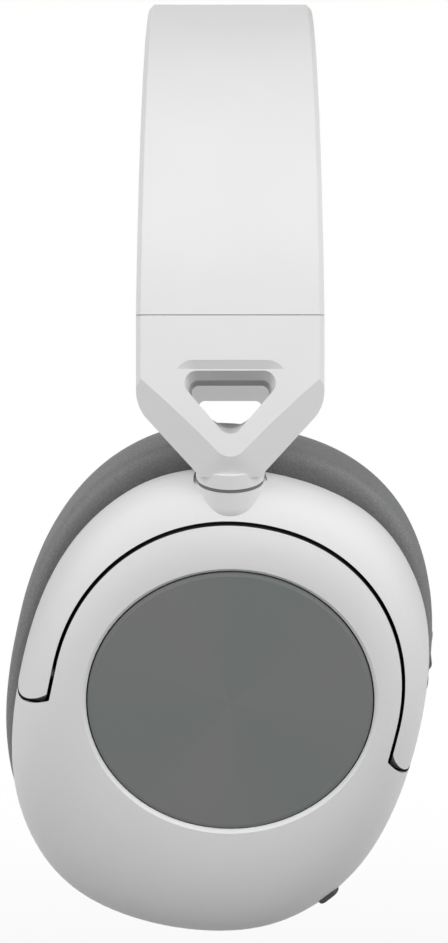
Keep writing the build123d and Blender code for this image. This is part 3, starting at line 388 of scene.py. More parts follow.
def painted_gap_shade(place):
    """1 on the walls of the narrow gaps round the fork and the side plate, which see no light;
    near-black is painted there as shade.
    """
    across = abs(place.back - FORK_OPEN_BACK) / FORK_OPEN_HALF
    height = abs(place.up) / FORK_OPEN_TOP
    upper = place.up.over(0.0)
    arch = (across ** FORK_OPEN_POWER + height ** FORK_OPEN_POWER) ** (1.0 / FORK_OPEN_POWER)
    opening = arch * upper + across * (1.0 - upper)
    gap_starts = 1.0 - (FORK_GAP + 0.04 * MM) / FORK_OPEN_HALF
    beside = within(opening, gap_starts, 1.0009)
    outside = opening.over(gap_starts)
    from_pivot_up = place.up + PIVOT_DROP
    from_pivot_in = place.depth - PIVOT_DEPTH
    from_pivot = (from_pivot_up * from_pivot_up + from_pivot_in * from_pivot_in) ** 0.5
    below_pivot = 1.0 - from_pivot_up.over(0.0)
    gap_ends = ARM_END_RADIUS + FORK_GAP + WALL_SKIN
    arm_end = within(from_pivot, ARM_END_RADIUS - WALL_SKIN, gap_ends)
    behind = within(place.depth, FORK_DEPTH - WALL_SKIN, FORK_DEPTH + FORK_GAP + WALL_SKIN)
    seat = within(place.radius, PLATE_SEAT_RADIUS - 0.05 * MM, PLATE_SEAT_RADIUS + WALL_SKIN)
    seat_floor = 1.0 - place.radius.over(PLATE_SEAT_RADIUS)
    past_arm = below_pivot * from_pivot.over(gap_ends)
    shell_side = arm_end * below_pivot + behind * (1.0 - below_pivot)
    fork_gap = beside * (1.0 - past_arm) + outside * shell_side
    plate_gap = (seat + seat_floor) * place.depth.over(PLATE_SEAT_DEPTH)
    return (fork_gap + plate_gap).over(0.5)


def cup_white(name, side="left"):
    """The white of the cups and forks, with painted shade inside the narrow gaps."""
    return moulded(name, tuple(colours().white), side=side)


def cup_white_right(name):
    return cup_white(name, "right")


def dark_plastic(name):
    return moulded(name, tuple(colours().dark), gloss=0.46)


# Mid grey in place of white on the end blocks' inner lids; it darkens the far lid seen through the end
# block's hole.
def lid_grey(name):
    return moulded(name, (0.46, 0.462, 0.46))


def washer_polymer(name):
    return moulded(name, (0.155, 0.157, 0.157), gloss=0.5)


def brushed_steel(name, colour=None, streak=14.0, gloss=0.27):
    """Steel with fine streaks along the row's Z direction."""
    finish = Finish(name, metallic=1.0)
    stretched = finish.vector("MULTIPLY", finish.place(), (streak, streak, 1.0))
    streaks = finish.noise(0.004, 3.0, 0.6, stretched)
    colour = colour or tuple(colours().steel)
    finish.set("Base Color", finish.mix(streaks, shade(colour, 0.86), shade(colour, 1.08)))
    finish.set("Roughness", gloss + 0.16 * streaks)
    finish.bump(streaks, 0.12, 0.00004)
    return finish.material


def dark_steel(name):
    return brushed_steel(name, (0.30, 0.30, 0.32), 4.0, 0.34)


def ground_steel(name):
    return brushed_steel(name, (0.62, 0.63, 0.64), 30.0, 0.18)


def tinned_metal(name):
    return brushed_steel(name, (0.64, 0.63, 0.60), 6.0, 0.25)


def spun_plate(name, side="left"):
    """Grey side plate with painted reflection in soft light and cool wedges from its centre, and fine
    spun rings.
    """
    finish = Finish(name, coat=0.05)
    place = CupPlace(finish, side)
    # painted reflection: the wedges stand in for the light and dark reflections of the spun finish
    broad = (place.angle * 3.0 + 1.3).cos() * 0.5 + 0.5
    narrow = (place.angle * 13.0 + 0.4).cos() * 0.5 + 0.5
    reflection_sectors = broad * 0.72 + narrow * (place.angle * 5.0).sin() * 0.16 + 0.1
    base = finish.mix(reflection_sectors, tuple(colours().plate), tuple(colours().plate_cool_reflection))
    rings = finish.noise(0.00022, 2.0, 0.5, finish.node("ShaderNodeCombineXYZ", {}, {0: place.radius}))
    finish.set("Base Color", base)
    finish.set("Roughness", 0.44 + 0.05 * reflection_sectors + 0.08 * rings)
    finish.bump(rings, 0.10, 0.00003)
    return finish.material


def spun_plate_right(name):
    return spun_plate(name, "right")


def leather(name, grain=0.00085):
    """Soft artificial leather: small raised cells, creases between them darkened with painted shade, and
    a dull sheen.
    """
    finish = Finish(name, sheen=0.22, specular=0.42)
    colour = tuple(colours().leather)
    wobble = finish.noise(grain * 2.2, 2.0)
    warp = finish.vector("MULTIPLY", finish.node("ShaderNodeCombineXYZ", {}, {0: wobble, 1: wobble}),
                         (grain * 0.9, grain * 0.9, 0.0))
    warped = finish.vector("ADD", finish.place(), warp)
    edges = finish.cells(grain, "DISTANCE_TO_EDGE", "Distance", warped)
    crease = finish.node("ShaderNodeMapRange", {}, {"Value": edges, "From Max": 0.16})
    pores = finish.noise(grain * 0.35, 2.0, 0.6)
    cloud = finish.noise(0.012, 3.0)
    # painted shade: darker colour in the creases; the cloud and the pores vary the tone at random
    tone = 0.45 * crease + 0.35 * cloud + 0.20 * pores
    finish.set("Base Color", finish.mix(tone, shade(colour, 0.80), shade(colour, 1.14)))
    finish.set("Roughness", 0.66 - 0.14 * crease + 0.06 * pores)
    finish.bump(crease * 0.75 + pores * 0.25, 0.42, 0.00012)
    return finish.material


def soft_rubber(name):
    return moulded(name, (0.028, 0.028, 0.031), grain=0.0006, gloss=0.56)


def open_foam(name):
    """Open-cell foam: pores of two sizes, painted dark as shade."""
    finish = Finish(name, sheen=0.35, specular=0.15)
    pores = finish.cells(0.00055)
    small = finish.cells(0.00028)
    tone = pores * 0.7 + small * 0.5
    # painted shade: dark colour in the pores
    finish.set("Base Color", finish.mix(tone, (0.012, 0.012, 0.013), (0.052, 0.052, 0.056)))
    finish.set("Roughness", 0.86 + 0.1 * small)
    finish.bump(tone, 0.9, 0.0003)
    return finish.material


def speaker_mesh(name, side="left"):
    """Thin knitted cloth over the driver: a lattice of threads, with painted shade in its eyes."""
    finish = Finish(name, sheen=0.3, specular=0.2)
    place = CupPlace(finish, side)
    pitch = 1.1 * MM
    across = place.back * (math.tau / pitch)
    upwards = place.up * (math.tau / pitch)
    threads = (across.cos() * upwards.cos()) * 0.5 + 0.5
    fuzz = finish.noise(0.0003, 2.0)
    # painted shade: dark colour in the eyes between the threads
    finish.set("Base Color", finish.mix(threads, (0.018, 0.018, 0.02), (0.075, 0.075, 0.08)))
    finish.set("Roughness", 0.8 + 0.1 * fuzz)
    finish.bump(threads + fuzz * 0.3, 0.5, 0.00015)
    return finish.material


def speaker_mesh_right(name):
    return speaker_mesh(name, "right")


def solder_resist(name):
    finish = Finish(name, coat=0.2)
    tracks = finish.cells(0.0024, "F1", "Distance")
    finish.set("Base Color", finish.mix(tracks.over(0.42), (0.015, 0.10, 0.05), (0.03, 0.17, 0.085)))
    finish.set("Roughness", 0.38 + 0.1 * tracks)
    return finish.material


def polymer_film(name):
    finish = Finish(name, coat=0.3)
    ripple = finish.noise(0.002, 2.0)
    finish.set("Base Color", finish.mix(ripple, (0.06, 0.06, 0.062), (0.10, 0.10, 0.104)))
    finish.set("Roughness", 0.24 + 0.08 * ripple)
    finish.bump(ripple, 0.1, 0.0001)
    return finish.material


def battery_pouch(name):
    finish = Finish(name, metallic=0.35)
    creases = finish.noise(0.003, 3.0)
    finish.set("Base Color", finish.mix(creases, (0.32, 0.33, 0.35), (0.42, 0.43, 0.45)))
    finish.set("Roughness", 0.36 + 0.12 * creases)
    finish.bump(creases, 0.2, 0.0002)
    return finish.material


def clear_lens(name):
    finish = Finish(name, coat=0.5)
    haze = finish.noise(0.0008, 2.0)
    finish.set("Base Color", finish.mix(haze, (0.62, 0.66, 0.66), (0.72, 0.76, 0.76)))
    finish.set("Roughness", 0.12 + 0.08 * haze)
    return finish.material


def thread(name):
    finish = Finish(name, sheen=0.2, specular=0.3)
    twist = finish.noise(0.0002, 2.0)
    colour = shade(tuple(colours().leather), 0.62)
    finish.set("Base Color", finish.mix(twist, shade(colour, 0.8), shade(colour, 1.2)))
    finish.set("Roughness", 0.72 + 0.1 * twist)
    finish.bump(twist, 0.4, 0.0001)
    return finish.material


MAKERS = {maker.__name__: maker for maker in (
    white_plastic, cup_white, cup_white_right, dark_plastic, lid_grey, washer_polymer,
    brushed_steel, dark_steel, ground_steel, tinned_metal, spun_plate, spun_plate_right, leather,
    soft_rubber, open_foam, speaker_mesh, speaker_mesh_right, solder_resist, polymer_film,
    battery_pouch, clear_lens, thread,
)}


# ---------------------------------------------------------------- helpers for pieces
def dress(names, finish_name):
    """Give carried-over nodes a finish."""
    for name in names:
        data = frame["nodes"][name].data
        data.materials.clear()
        data.materials.append(finish_named(finish_name))


def both(*names):
    return [f"{name}_{side}" for name in names for side in SIDES]


def closed_curve(points, count):
    """Points spread evenly along a smooth closed curve through the given ones."""
    fine = []
    steps = 24
    total = len(points)
    for i in range(total):
        a, b, c, d = (Vector(points[(i + k) % total]) for k in (-1, 0, 1, 2))
        for k in range(steps):
            t = k / steps
            fine.append(0.5 * (2 * b + (c - a) * t + (2 * a - 5 * b + 4 * c - d) * t * t
                               + (3 * b - a - 3 * c + d) * t * t * t))
    lengths = [0.0]
    for i in range(len(fine)):
        lengths.append(lengths[-1] + (fine[(i + 1) % len(fine)] - fine[i]).length)
    even = []
    k = 0
    for i in range(count):
        wanted = lengths[-1] * i / count
        while lengths[k + 1] < wanted:
            k += 1
        share = (wanted - lengths[k]) / max(1e-12, lengths[k + 1] - lengths[k])
        even.append(fine[k].lerp(fine[(k + 1) % len(fine)], share))
    return even


def new_object(name, data):
    """Make an object of this mesh, lamp or camera and put it in the scene."""
    made = bpy.data.objects.new(name, data)
    bpy.context.scene.collection.objects.link(made)
    return made


def grid_object(name, rows, close_rows=True, close_columns=True, caps=False):
    """A mesh of four-sided faces from rows of points."""
    mesh = bpy.data.meshes.new(name)
    points = [tuple(point) for row in rows for point in row]
    width = len(rows[0])
    faces = []
    last_row = len(rows) if close_rows else len(rows) - 1
    last_column = width if close_columns else width - 1
    for i in range(last_row):
        for j in range(last_column):
            ni, nj = (i + 1) % len(rows), (j + 1) % width
            faces.append((i * width + j, i * width + nj, ni * width + nj, ni * width + j))
    if caps:
        faces.append(tuple(range(width))[::-1])
        faces.append(tuple((len(rows) - 1) * width + j for j in range(width)))
    mesh.from_pydata(points, [], faces)
    shaped = bmesh.new()
    shaped.from_mesh(mesh)
    bmesh.ops.recalc_face_normals(shaped, faces=shaped.faces)
    shaped.to_mesh(mesh)
    shaped.free()
    for polygon in mesh.polygons:
        polygon.use_smooth = True
    return new_object(name, mesh)


def fill_with_air(piece, held, cap):
    """Swell a closed skin as cloth under pressure; held points stay, and none moves past the cap."""
    frames = 20
    group = piece.vertex_groups.new(name="held")
    group.add(held, 1.0, "REPLACE")
    start = [vertex.co.copy() for vertex in piece.data.vertices]
    cloth = piece.modifiers.new("Cloth", "CLOTH")
    cloth.settings.quality = 6
    cloth.settings.mass = 0.02
    cloth.settings.tension_stiffness = 12.0
    cloth.settings.compression_stiffness = 12.0
    cloth.settings.shear_stiffness = 4.0
    cloth.settings.bending_stiffness = 0.4
    cloth.settings.use_pressure = True
    cloth.settings.uniform_pressure_force = 4.0
    cloth.settings.vertex_group_mass = "held"
    cloth.settings.effector_weights.gravity = 0.0
    cloth.point_cache.frame_start = 1
    cloth.point_cache.frame_end = frames
    scene = bpy.context.scene
    for number in range(1, frames + 1):
        scene.frame_set(number)
    graph = bpy.context.evaluated_depsgraph_get()
    moved = [vertex.co.copy() for vertex in piece.evaluated_get(graph).data.vertices]
    piece.modifiers.remove(cloth)
    scene.frame_set(1)
    for vertex, before, after in zip(piece.data.vertices, start, moved):
        step = after - before
        if step.length > cap:
            step = step * (cap / step.length)
        vertex.co = before + step
    piece.vertex_groups.clear()
    piece.data.update()


def refine(piece):
    """Subdivide a piece once and keep the result as its mesh."""
    modifier = piece.modifiers.new("Smooth", "SUBSURF")
    modifier.levels = 1
    modifier.render_levels = 1
    graph = bpy.context.evaluated_depsgraph_get()
    mesh = bpy.data.meshes.new_from_object(piece.evaluated_get(graph))
    piece.modifiers.remove(modifier)
    old = piece.data
    piece.data = mesh
    mesh.name = piece.name
    bpy.data.meshes.remove(old)
    for polygon in mesh.polygons:
        polygon.use_smooth = True


def mirrored_copy(piece, name):
    """The same piece on the other side of the head."""
    mesh = piece.data.copy()
    mesh.transform(Matrix.Scale(-1.0, 4, (1.0, 0.0, 0.0)))
    mesh.flip_normals()
    mesh.name = name
    return new_object(name, mesh)


def settle(piece, finish_name, body, replaced=None):
    """Give a new piece its finish, the body it rides on and the node it stands for."""
    piece.data.materials.clear()
    piece.data.materials.append(finish_named(finish_name))
    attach(piece, body)
    if replaced:
        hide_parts(replaced)
    return piece


def stitches(name, path, normals, length, gap, thickness):
    """A row of short stitches along a path of points, each a small bent bar."""
    joints_along = 4
    corners = 6
    mesh = bpy.data.meshes.new(name)
    shaped = bmesh.new()
    lengths = [0.0]
    for a, b in zip(path, path[1:]):
        lengths.append(lengths[-1] + (b - a).length)

    def at(distance):
        k = 0
        while k < len(lengths) - 2 and lengths[k + 1] < distance:
            k += 1
        share = (distance - lengths[k]) / max(1e-9, lengths[k + 1] - lengths[k])
        return path[k].lerp(path[k + 1], share), normals[k].lerp(normals[k + 1], share).normalized()

    start = gap
    while start + length < lengths[-1]:
        rings = []
        for step in range(joints_along + 1):
            share = step / joints_along
            point, normal = at(start + length * share)
            ahead, _ = at(min(lengths[-1], start + length * share + 0.0002))
            along = (ahead - point).normalized()
            side = along.cross(normal).normalized()
            lift = math.sin(math.pi * share) * thickness * 0.55 - thickness * 0.25
            half = thickness / 2 * (0.55 + 0.45 * math.sin(math.pi * share))
            ring = []
            for k in range(corners):
                turn = math.tau * k / corners
                offset = side * math.cos(turn) * half + normal * (math.sin(turn) * half + lift)
                ring.append(shaped.verts.new(point + offset))
            rings.append(ring)
        for a, b in zip(rings, rings[1:]):
            for k in range(corners):
                after = (k + 1) % corners
                shaped.faces.new((a[k], a[after], b[after], b[k]))
        shaped.faces.new(rings[0][::-1])
        shaped.faces.new(rings[-1])
        start += length + gap
    bmesh.ops.recalc_face_normals(shaped, faces=shaped.faces)
    for face in shaped.faces:
        face.smooth = True
    shaped.to_mesh(mesh)
    shaped.free()
    return new_object(name, mesh)


def stitch_row(name, piece, rays, length, gap):
    """Stitches where the rays, each a start and a direction, meet a piece."""
    path = []
    normals = []
    for start, towards in rays:
        hit, point, _, _ = piece.ray_cast(start, towards)
        if not hit:
            raise RuntimeError(f"{name} found nothing to lie on")
        path.append(point.copy())
        normals.append(-towards)
    return stitches(name, path, normals, length, gap, STITCH_THICKNESS)


# ---------------------------------------------------------------- operators
class HEADSET_OT_mouldings(bpy.types.Operator):
    """Finish the headband, end blocks, forks and cups"""
    bl_idname = "headset.mouldings"
    bl_label = "White mouldings"

    def execute(self, context):
        dress(["headband_outer_cover", "headband_inner_cover"], "white_plastic")
        dress(both("end_block"), "white_plastic")
        dress(both("end_block_lid"), "lid_grey")
        dress(["fork_left", "cup_shell_left"], "cup_white")
        dress(["fork_right", "cup_shell_right"], "cup_white_right")
        dress(["mic_hub"], "white_plastic")
        dress(both("slider_guide", "baffle", "driver_frame"), "dark_plastic")
        dress(both("swivel_washer"), "washer_polymer")
        return {"FINISHED"}


class HEADSET_OT_side_plates(bpy.types.Operator):
    """Finish the round side plates"""
    bl_idname = "headset.side_plates"
    bl_label = "Side plates"

    def execute(self, context):
        dress(["side_plate_left"], "spun_plate")
        dress(["side_plate_right"], "spun_plate_right")
        return {"FINISHED"}


class HEADSET_OT_metal(bpy.types.Operator):
    """Finish the sliders, springs, pins and screws"""
    bl_idname = "headset.metal"
    bl_label = "Steel parts"

    def execute(self, context):
        dress(["spring_band"], "brushed_steel")
        dress(both("slider_strip"), "brushed_steel")
        dress(both("swivel_pin", "swivel_clip"), "ground_steel")
        dress(["mic_hub_pin"], "ground_steel")
        dress(both("end_block_screws", "cup_screws", "tilt_pins"), "dark_steel")
        dress(both("driver_magnet"), "ground_steel")
        return {"FINISHED"}


class HEADSET_OT_sound(bpy.types.Operator):
    """Finish the drivers and the cloth over them"""
    bl_idname = "headset.sound"
    bl_label = "Drivers"

    def execute(self, context):
        dress(both("diaphragm"), "polymer_film")
        dress(["speaker_cloth_left"], "speaker_mesh")
        dress(["speaker_cloth_right"], "speaker_mesh_right")
        return {"FINISHED"}


class HEADSET_OT_electronics(bpy.types.Operator):
    """Finish the board, battery, sockets and lead"""
    bl_idname = "headset.electronics"
    bl_label = "Electronics"

    def execute(self, context):
        dress(["circuit_board"], "solder_resist")
        dress(["battery"], "battery_pouch")
        dress(["usb_c_port"], "tinned_metal")
        dress(["audio_socket", "volume_encoder"], "dark_plastic")
        dress(["status_light"], "clear_lens")
        dress(["headband_lead"], "soft_rubber")
        return {"FINISHED"}


class HEADSET_OT_controls(bpy.types.Operator):
    """Finish the volume wheel and the buttons"""
    bl_idname = "headset.controls"
    bl_label = "Controls"

    def execute(self, context):
        dress(["volume_wheel", "mute_button", "power_button", "preset_button"], "dark_plastic")
        return {"FINISHED"}


class HEADSET_OT_microphone(bpy.types.Operator):
    """Finish the boom and model its foam tip"""
    bl_idname = "headset.microphone"
    bl_label = "Microphone"

    def execute(self, context):
        dress(["boom_arm"], "soft_rubber")
        dress(["mic_capsule"], "dark_plastic")
        foam_tip()
        return {"FINISHED"}


def foam_tip():
    """A foam sleeve over the capsule's end, lumpy and rounded."""
    low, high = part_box("mic_foam")
    centre = (low + high) / 2
    along = (CUP_BACK * FOAM_ALONG[0] + CUP_UP * FOAM_ALONG[1]).normalized()
    side = along.cross(CUP_OUT).normalized()
    steps = 28
    corners = 36
    rows = []
    for i in range(steps + 1):
        share = math.sin((-1.0 + 2.0 * i / steps) * math.pi / 2)
        width = FOAM_RADIUS * (1.0 - abs(share) ** 4.5) ** (1 / 2.4)
        if i in (0, steps):
            width = FOAM_RADIUS * 0.08
        row = []
        for j in range(corners):
            turn = math.tau * j / corners
            direction = side * math.cos(turn) + CUP_OUT * math.sin(turn)
            point = centre + along * share * FOAM_HALF_LENGTH + direction * width
            lump = noise.noise(point * 900.0) * 0.12 * MM
            lump += noise.noise(point * 2600.0) * 0.06 * MM
            row.append(point + direction * lump)
        rows.append(row)
    tip = grid_object("microphone_foam", rows, close_rows=False, caps=True)
    refine(tip)
    settle(tip, "open_foam", "mic_boom", "mic_foam")


# The pad's cross-section: share of the way from opening to edge, and share of the thickness
PAD_SECTION = (
    (0.50, 0.0), (0.80, 0.0), (0.955, 0.01), (0.992, 0.14), (1.0, 0.40), (0.996, 0.68),
    (0.965, 0.86), (0.88, 0.965), (0.72, 0.995), (0.50, 1.0), (0.32, 0.985), (0.16, 0.91),
    (0.05, 0.76), (0.0, 0.52), (0.0, 0.25), (0.025, 0.05), (0.12, 0.0), (0.30, 0.0),
)
# The head cushion's: share of the half width, and share of the thickness downwards
CUSHION_SECTION = (
    (0.0, 0.0), (0.55, 0.0), (0.93, 0.01), (0.995, 0.14), (1.0, 0.40), (0.955, 0.70),
    (0.80, 0.90), (0.45, 0.985), (0.0, 1.0), (-0.45, 0.985), (-0.80, 0.90), (-0.955, 0.70),
    (-1.0, 0.40), (-0.995, 0.14), (-0.93, 0.01), (-0.55, 0.0),
)
FLAT = 0.02                          # a section's points under this share lie on the flat back


def superellipse(angle, half_width, half_height, power):
    c, s = math.cos(angle), math.sin(angle)
    x = half_width * math.copysign(abs(c) ** (2 / power), c)
    y = half_height * math.copysign(abs(s) ** (2 / power), s)
    return x, y


class HEADSET_OT_ear_pads(bpy.types.Operator):
    """Model both ear pads: a swollen leather ring with a gathered inner seam"""
    bl_idname = "headset.ear_pads"
    bl_label = "Ear pads"

    def execute(self, context):
        size = sizes()
        section = closed_curve(PAD_SECTION, 34)
        around = 132
        rows = []
        for i in range(around):
            turn = math.tau * i / around
            outer = superellipse(turn, size.pad_half_width, size.pad_half_height, PAD_POWER)
            inner = superellipse(turn, size.pad_opening_width, size.pad_opening_height, 2.0)
            row = []
            for share, height in section:
                x = size.pad_behind + inner[0] + (outer[0] - inner[0]) * share
                y = inner[1] + (outer[1] - inner[1]) * share - size.pad_below
                row.append(cup_point(x, y, -(size.pad_back + size.pad_thickness * height)))
            rows.append(row)
        pad = grid_object("ear_cushion_left", rows)
        flat = [i * len(section) + j for i in range(around)
                for j, (share, height) in enumerate(section) if height < FLAT]
        fill_with_air(pad, flat, size.pad_swell)
        refine(pad)
        gather_pad(pad)
        other = mirrored_copy(pad, "ear_cushion_right")
        settle(pad, "leather", "cup_left", "ear_pad_left")
        settle(other, "leather", "cup_right", "ear_pad_right")
        pad_stitching()
        return {"FINISHED"}


def gather_pad(pad):
    """Press a seam into the pad's inner shoulder and gather the skin along it."""
    size = sizes()
    for vertex in pad.data.vertices:
        place = vertex.co - CUP_ORIGIN
        x = place.dot(CUP_BACK) - size.pad_behind
        y = place.dot(CUP_UP) + size.pad_below
        depth = -place.dot(CUP_OUT) - size.pad_back
        ring = math.hypot(x / size.pad_opening_width, y / size.pad_opening_height)
        turn = math.atan2(y / size.pad_opening_height, x / size.pad_opening_width)
        outwards = (CUP_BACK * x + CUP_UP * y).normalized()
        away = (ring - 1.0) * size.pad_opening_width
        seam = near = 0.0
        if depth > size.pad_thickness * 0.5:
            seam = math.exp(-((away - PAD_SEAM) / (0.55 * MM)) ** 2)
        if depth > size.pad_thickness * 0.3:
            near = math.exp(-((away - 2.6 * MM) / (3.2 * MM)) ** 2)
        waves = math.sin(turn * size.gathers + 2.0 * noise.noise(vertex.co * 90.0))
        uneven = 0.55 + 0.9 * abs(noise.noise(vertex.co * 55.0 + Vector((7.0, 3.0, 1.0))))
        lift = waves * uneven * size.pucker * near * 0.6 - seam * 0.45 * MM
        vertex.co += -CUP_OUT * lift
        soft = noise.noise(vertex.co * 32.0) * 0.16 * MM
        soft += noise.noise(vertex.co * 85.0) * 0.07 * MM
        if depth > 1.0 * MM:
            vertex.co += outwards * soft * (1.0 if ring > 1.4 else 0.3)
    pad.data.update()


def pad_stitching():
    """Stitches in the inner seam of each pad."""
    size = sizes()
    steps = 240
    for side, hand in BOTH_HANDS.items():
        rays = []
        for i in range(steps + 1):
            x, y = superellipse(math.tau * i / steps, size.pad_opening_width + PAD_SEAM,
                                size.pad_opening_height + PAD_SEAM, 2.0)
            start = cup_point(x + size.pad_behind, y - size.pad_below, -0.05) * hand
            rays.append((start, CUP_OUT * hand))
        pad = bpy.data.objects[f"ear_cushion_{side}"]
        row = stitch_row(f"pad_stitching_{side}", pad, rays, 2.0 * MM, 1.0 * MM)
        settle(row, "thread", f"cup_{side}")


class HEADSET_OT_head_cushion(bpy.types.Operator):
    """Model the cushion under the crown, with a welt along both edges"""
    bl_idname = "headset.head_cushion"
    bl_label = "Head cushion"

    def execute(self, context):
        size = sizes()
        low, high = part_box("head_cushion")
        seat = high.x / math.sin(math.radians(BAND_HALF_ANGLE))
        centre_z = high.z - seat
        thick_middle = high.z
        half = size.cushion_width / 2
        reach = math.radians(CUSHION_HALF_ANGLE)
        outline = closed_curve(CUSHION_SECTION, 36)
        rows = []
        steps = 44
        for i in range(steps + 1):
            share = -1.0 + 2.0 * i / steps
            angle = reach * share
            grown = math.cos(share * math.pi / 2) ** 1.1
            thick = CUSHION_END_THICKNESS + (thick_middle - CUSHION_END_THICKNESS) * grown
            end = min(1.0, (1.0 - abs(share)) * steps / 2 / 2.2)
            round_off = math.sqrt(max(0.0, 1.0 - (1.0 - end) ** 2))
            row = []
            for across, down in outline:
                radius = seat - thick * (0.10 + 0.90 * round_off if down > 0.5 else 1.0) * down
                y = half * across * (0.86 + 0.14 * round_off)
                row.append(Vector((radius * math.sin(angle), y, centre_z + radius * math.cos(angle))))
            rows.append(row)
        cushion = grid_object("crown_cushion", rows, close_rows=False, caps=True)
        width = len(outline)
        flat = [i * width + j for i in range(steps + 1) for j, (across, down) in enumerate(outline)
                if down < FLAT or i in (0, steps)]
        fill_with_air(cushion, flat, 0.5 * MM)
        refine(cushion)
        for vertex in cushion.data.vertices:
            spot = vertex.co
            radius = math.hypot(spot.x, spot.z - centre_z)
            below = seat - radius
            edge = abs(spot.y) / half
            inwards = Vector((-spot.x, 0.0, centre_z - spot.z)).normalized()
            seam = math.exp(-((abs(spot.y) - half * WELT_PLACE) / (0.5 * MM)) ** 2)
            if below > 2.0 * MM:
                spot -= inwards * seam * WELT_DEPTH_MM * MM
                turn = math.atan2(spot.x, spot.z - centre_z)
                ripple = math.sin(turn * 96.0 + 2.5 * noise.noise(spot * 70.0))
                near = math.exp(-((edge - WELT_PLACE) / 0.14) ** 2)
                spot += inwards * ripple * near * 0.10 * MM
                spot += inwards * noise.noise(spot * 45.0) * 0.14 * MM
            vertex.co = spot
        cushion.data.update()
        settle(cushion, "leather", "headband", "head_cushion")
        welt_steps = 120
        for sign, label in ((1.0, "back"), (-1.0, "front")):
            rays = []
            for i in range(welt_steps + 1):
                angle = math.radians(-50.0 + 100.0 * i / welt_steps)
                outwards = Vector((math.sin(angle), 0.0, math.cos(angle)))
                start = Vector((0.0, sign * half * WELT_PLACE, centre_z)) + outwards * 0.03
                rays.append((start, outwards))
            row = stitch_row(f"cushion_stitching_{label}", cushion, rays, 2.2 * MM, 1.1 * MM)
            settle(row, "thread", "headband")
        return {"FINISHED"}


class HEADSET_OT_stage(bpy.types.Operator):
    """Set the camera, the pale floor and the soft light"""
    bl_idname = "headset.stage"
    bl_label = "Stage"

    def execute(self, context):
        scene = context.scene
        scene.view_settings.view_transform = "Standard"
        lens = bpy.data.cameras.new("camera")
        lens.lens = CAMERA_LENS
        lens.sensor_width = 36.0
        lens.shift_x, lens.shift_y = CAMERA_SHIFT
        camera = new_object("camera", lens)
        camera.location = CAMERA_PLACE
        camera.rotation_euler = (math.pi / 2, 0.0, -math.pi / 2)
        scene.camera = camera
        pale_floor()
        pale_world()
        for values in LAMPS:
            lamp(*values)
        return {"FINISHED"}


def lamp(name, place, size, power):
    """A large square lamp that faces the middle of the headset."""
    data = bpy.data.lights.new(name, "AREA")
    data.shape = "SQUARE"
    data.size = size
    data.energy = power
    made = new_object(name, data)
    made.location = place
    towards = Vector(LAMP_TARGET) - Vector(place)
    made.rotation_euler = towards.to_track_quat("-Z", "Y").to_euler()


def pale_floor():
    """The floor: under the cups with the sliders out, but not under a microphone swung down there."""
    low = CAD_BOX[0].z - FLOOR_DROP
    ends = (-FLOOR_HALF, FLOOR_HALF)
    rows = [[Vector((x, y, low)) for y in ends] for x in ends]
    floor = grid_object("floor", rows, close_rows=False, close_columns=False)
    finish = Finish("floor_paper")
    fibres = finish.noise(0.004, 2.0)
    finish.set("Base Color", finish.mix(fibres, *FLOOR_GREYS))
    finish.set("Roughness", 0.9)
    seen = finish.node("ShaderNodeLightPath", output="Is Camera Ray")
    mirrored = finish.node("ShaderNodeLightPath", output="Is Glossy Ray")
    passed = finish.node("ShaderNodeLightPath", output="Is Transmission Ray")
    glow = finish.node("ShaderNodeEmission", {}, {"Color": (1.0, 1.0, 1.0), "Strength": 1.0})
    whole = finish.tree.nodes["Material Output"]
    x = finish.along(finish.place(), (1.0, 0.0, 0.0))
    y = finish.along(finish.place(), (0.0, 1.0, 0.0))
    near = 1.0 / (1.0 + ((x * x + y * y) / 0.05) ** 2.0)
    shown = (seen + mirrored + passed).over(0.5) * (1.0 - 0.07 * near)
    mixed = finish.node("ShaderNodeMixShader", {}, {0: shown, 2: glow})
    finish.tree.links.new(finish.shader.outputs[0], mixed.socket.node.inputs[1])
    finish.tree.links.new(mixed.socket, whole.inputs["Surface"])
    floor.data.materials.append(finish.material)


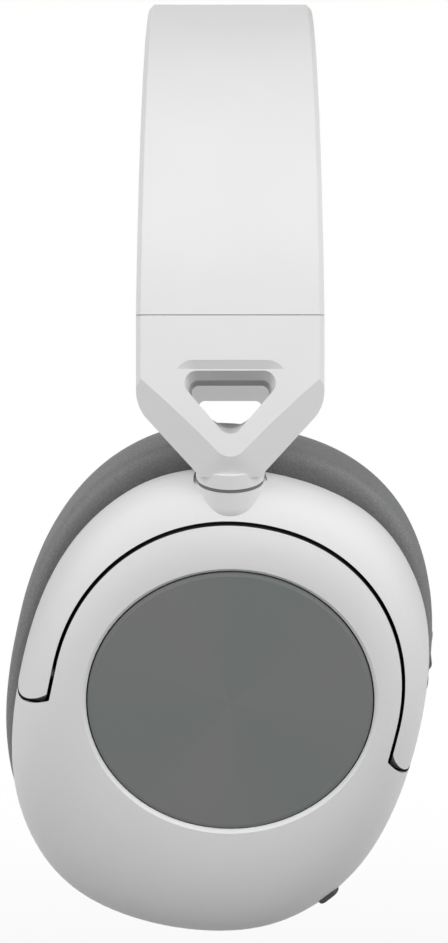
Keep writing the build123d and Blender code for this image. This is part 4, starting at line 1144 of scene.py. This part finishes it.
def pale_world():
    """White where the camera or a clear part sees it, and a weak soft light for all else."""
    world = bpy.data.worlds.new("studio")
    bpy.context.scene.world = world
    world.use_nodes = True
    tree = world.node_tree
    tree.nodes.clear()
    output = tree.nodes.new("ShaderNodeOutputWorld")
    mixed = tree.nodes.new("ShaderNodeMixShader")
    path = tree.nodes.new("ShaderNodeLightPath")
    soft = tree.nodes.new("ShaderNodeBackground")
    white = tree.nodes.new("ShaderNodeBackground")
    either = tree.nodes.new("ShaderNodeMath")
    either.operation = "MAXIMUM"
    soft.inputs["Color"].default_value = (1.0, 1.0, 1.0, 1.0)
    soft.inputs["Strength"].default_value = WORLD_LIGHT
    white.inputs["Color"].default_value = (1.0, 1.0, 1.0, 1.0)
    white.inputs["Strength"].default_value = 1.0
    tree.links.new(path.outputs["Is Camera Ray"], either.inputs[0])
    tree.links.new(path.outputs["Is Transmission Ray"], either.inputs[1])
    tree.links.new(either.outputs[0], mixed.inputs[0])
    tree.links.new(soft.outputs[0], mixed.inputs[1])
    tree.links.new(white.outputs[0], mixed.inputs[2])
    tree.links.new(mixed.outputs[0], output.inputs["Surface"])


OPERATORS = (
    HEADSET_OT_mouldings,
    HEADSET_OT_side_plates,
    HEADSET_OT_metal,
    HEADSET_OT_sound,
    HEADSET_OT_electronics,
    HEADSET_OT_controls,
    HEADSET_OT_microphone,
    HEADSET_OT_ear_pads,
    HEADSET_OT_head_cushion,
    HEADSET_OT_stage,
)


class HEADSET_PT_panel(bpy.types.Panel):
    """The headset's sizes, colours and pieces"""
    bl_idname = "HEADSET_PT_panel"
    bl_label = "Headset"
    bl_space_type = "VIEW_3D"
    bl_region_type = "UI"
    bl_category = "Headset"

    def draw(self, context):
        layout = self.layout
        for group in (sizes(), colours()):
            box = layout.box()
            for key in group.bl_rna.properties.keys():
                if key not in ("rna_type", "name"):
                    box.prop(group, key)
        for operator in OPERATORS:
            layout.operator(operator.bl_idname)


CLASSES = (HeadsetSizes, HeadsetColours, *OPERATORS, HEADSET_PT_panel)


def register():
    for item in CLASSES:
        bpy.utils.register_class(item)
    bpy.types.Scene.headset_sizes = PointerProperty(type=HeadsetSizes)
    bpy.types.Scene.headset_colours = PointerProperty(type=HeadsetColours)


def unregister():
    del bpy.types.Scene.headset_colours
    del bpy.types.Scene.headset_sizes
    for item in reversed(CLASSES):
        bpy.utils.unregister_class(item)


def main():
    register()
    for operator in OPERATORS:
        group, name = operator.bl_idname.split(".")
        getattr(getattr(bpy.ops, group), name)()


if __name__ == "__main__":
    main()
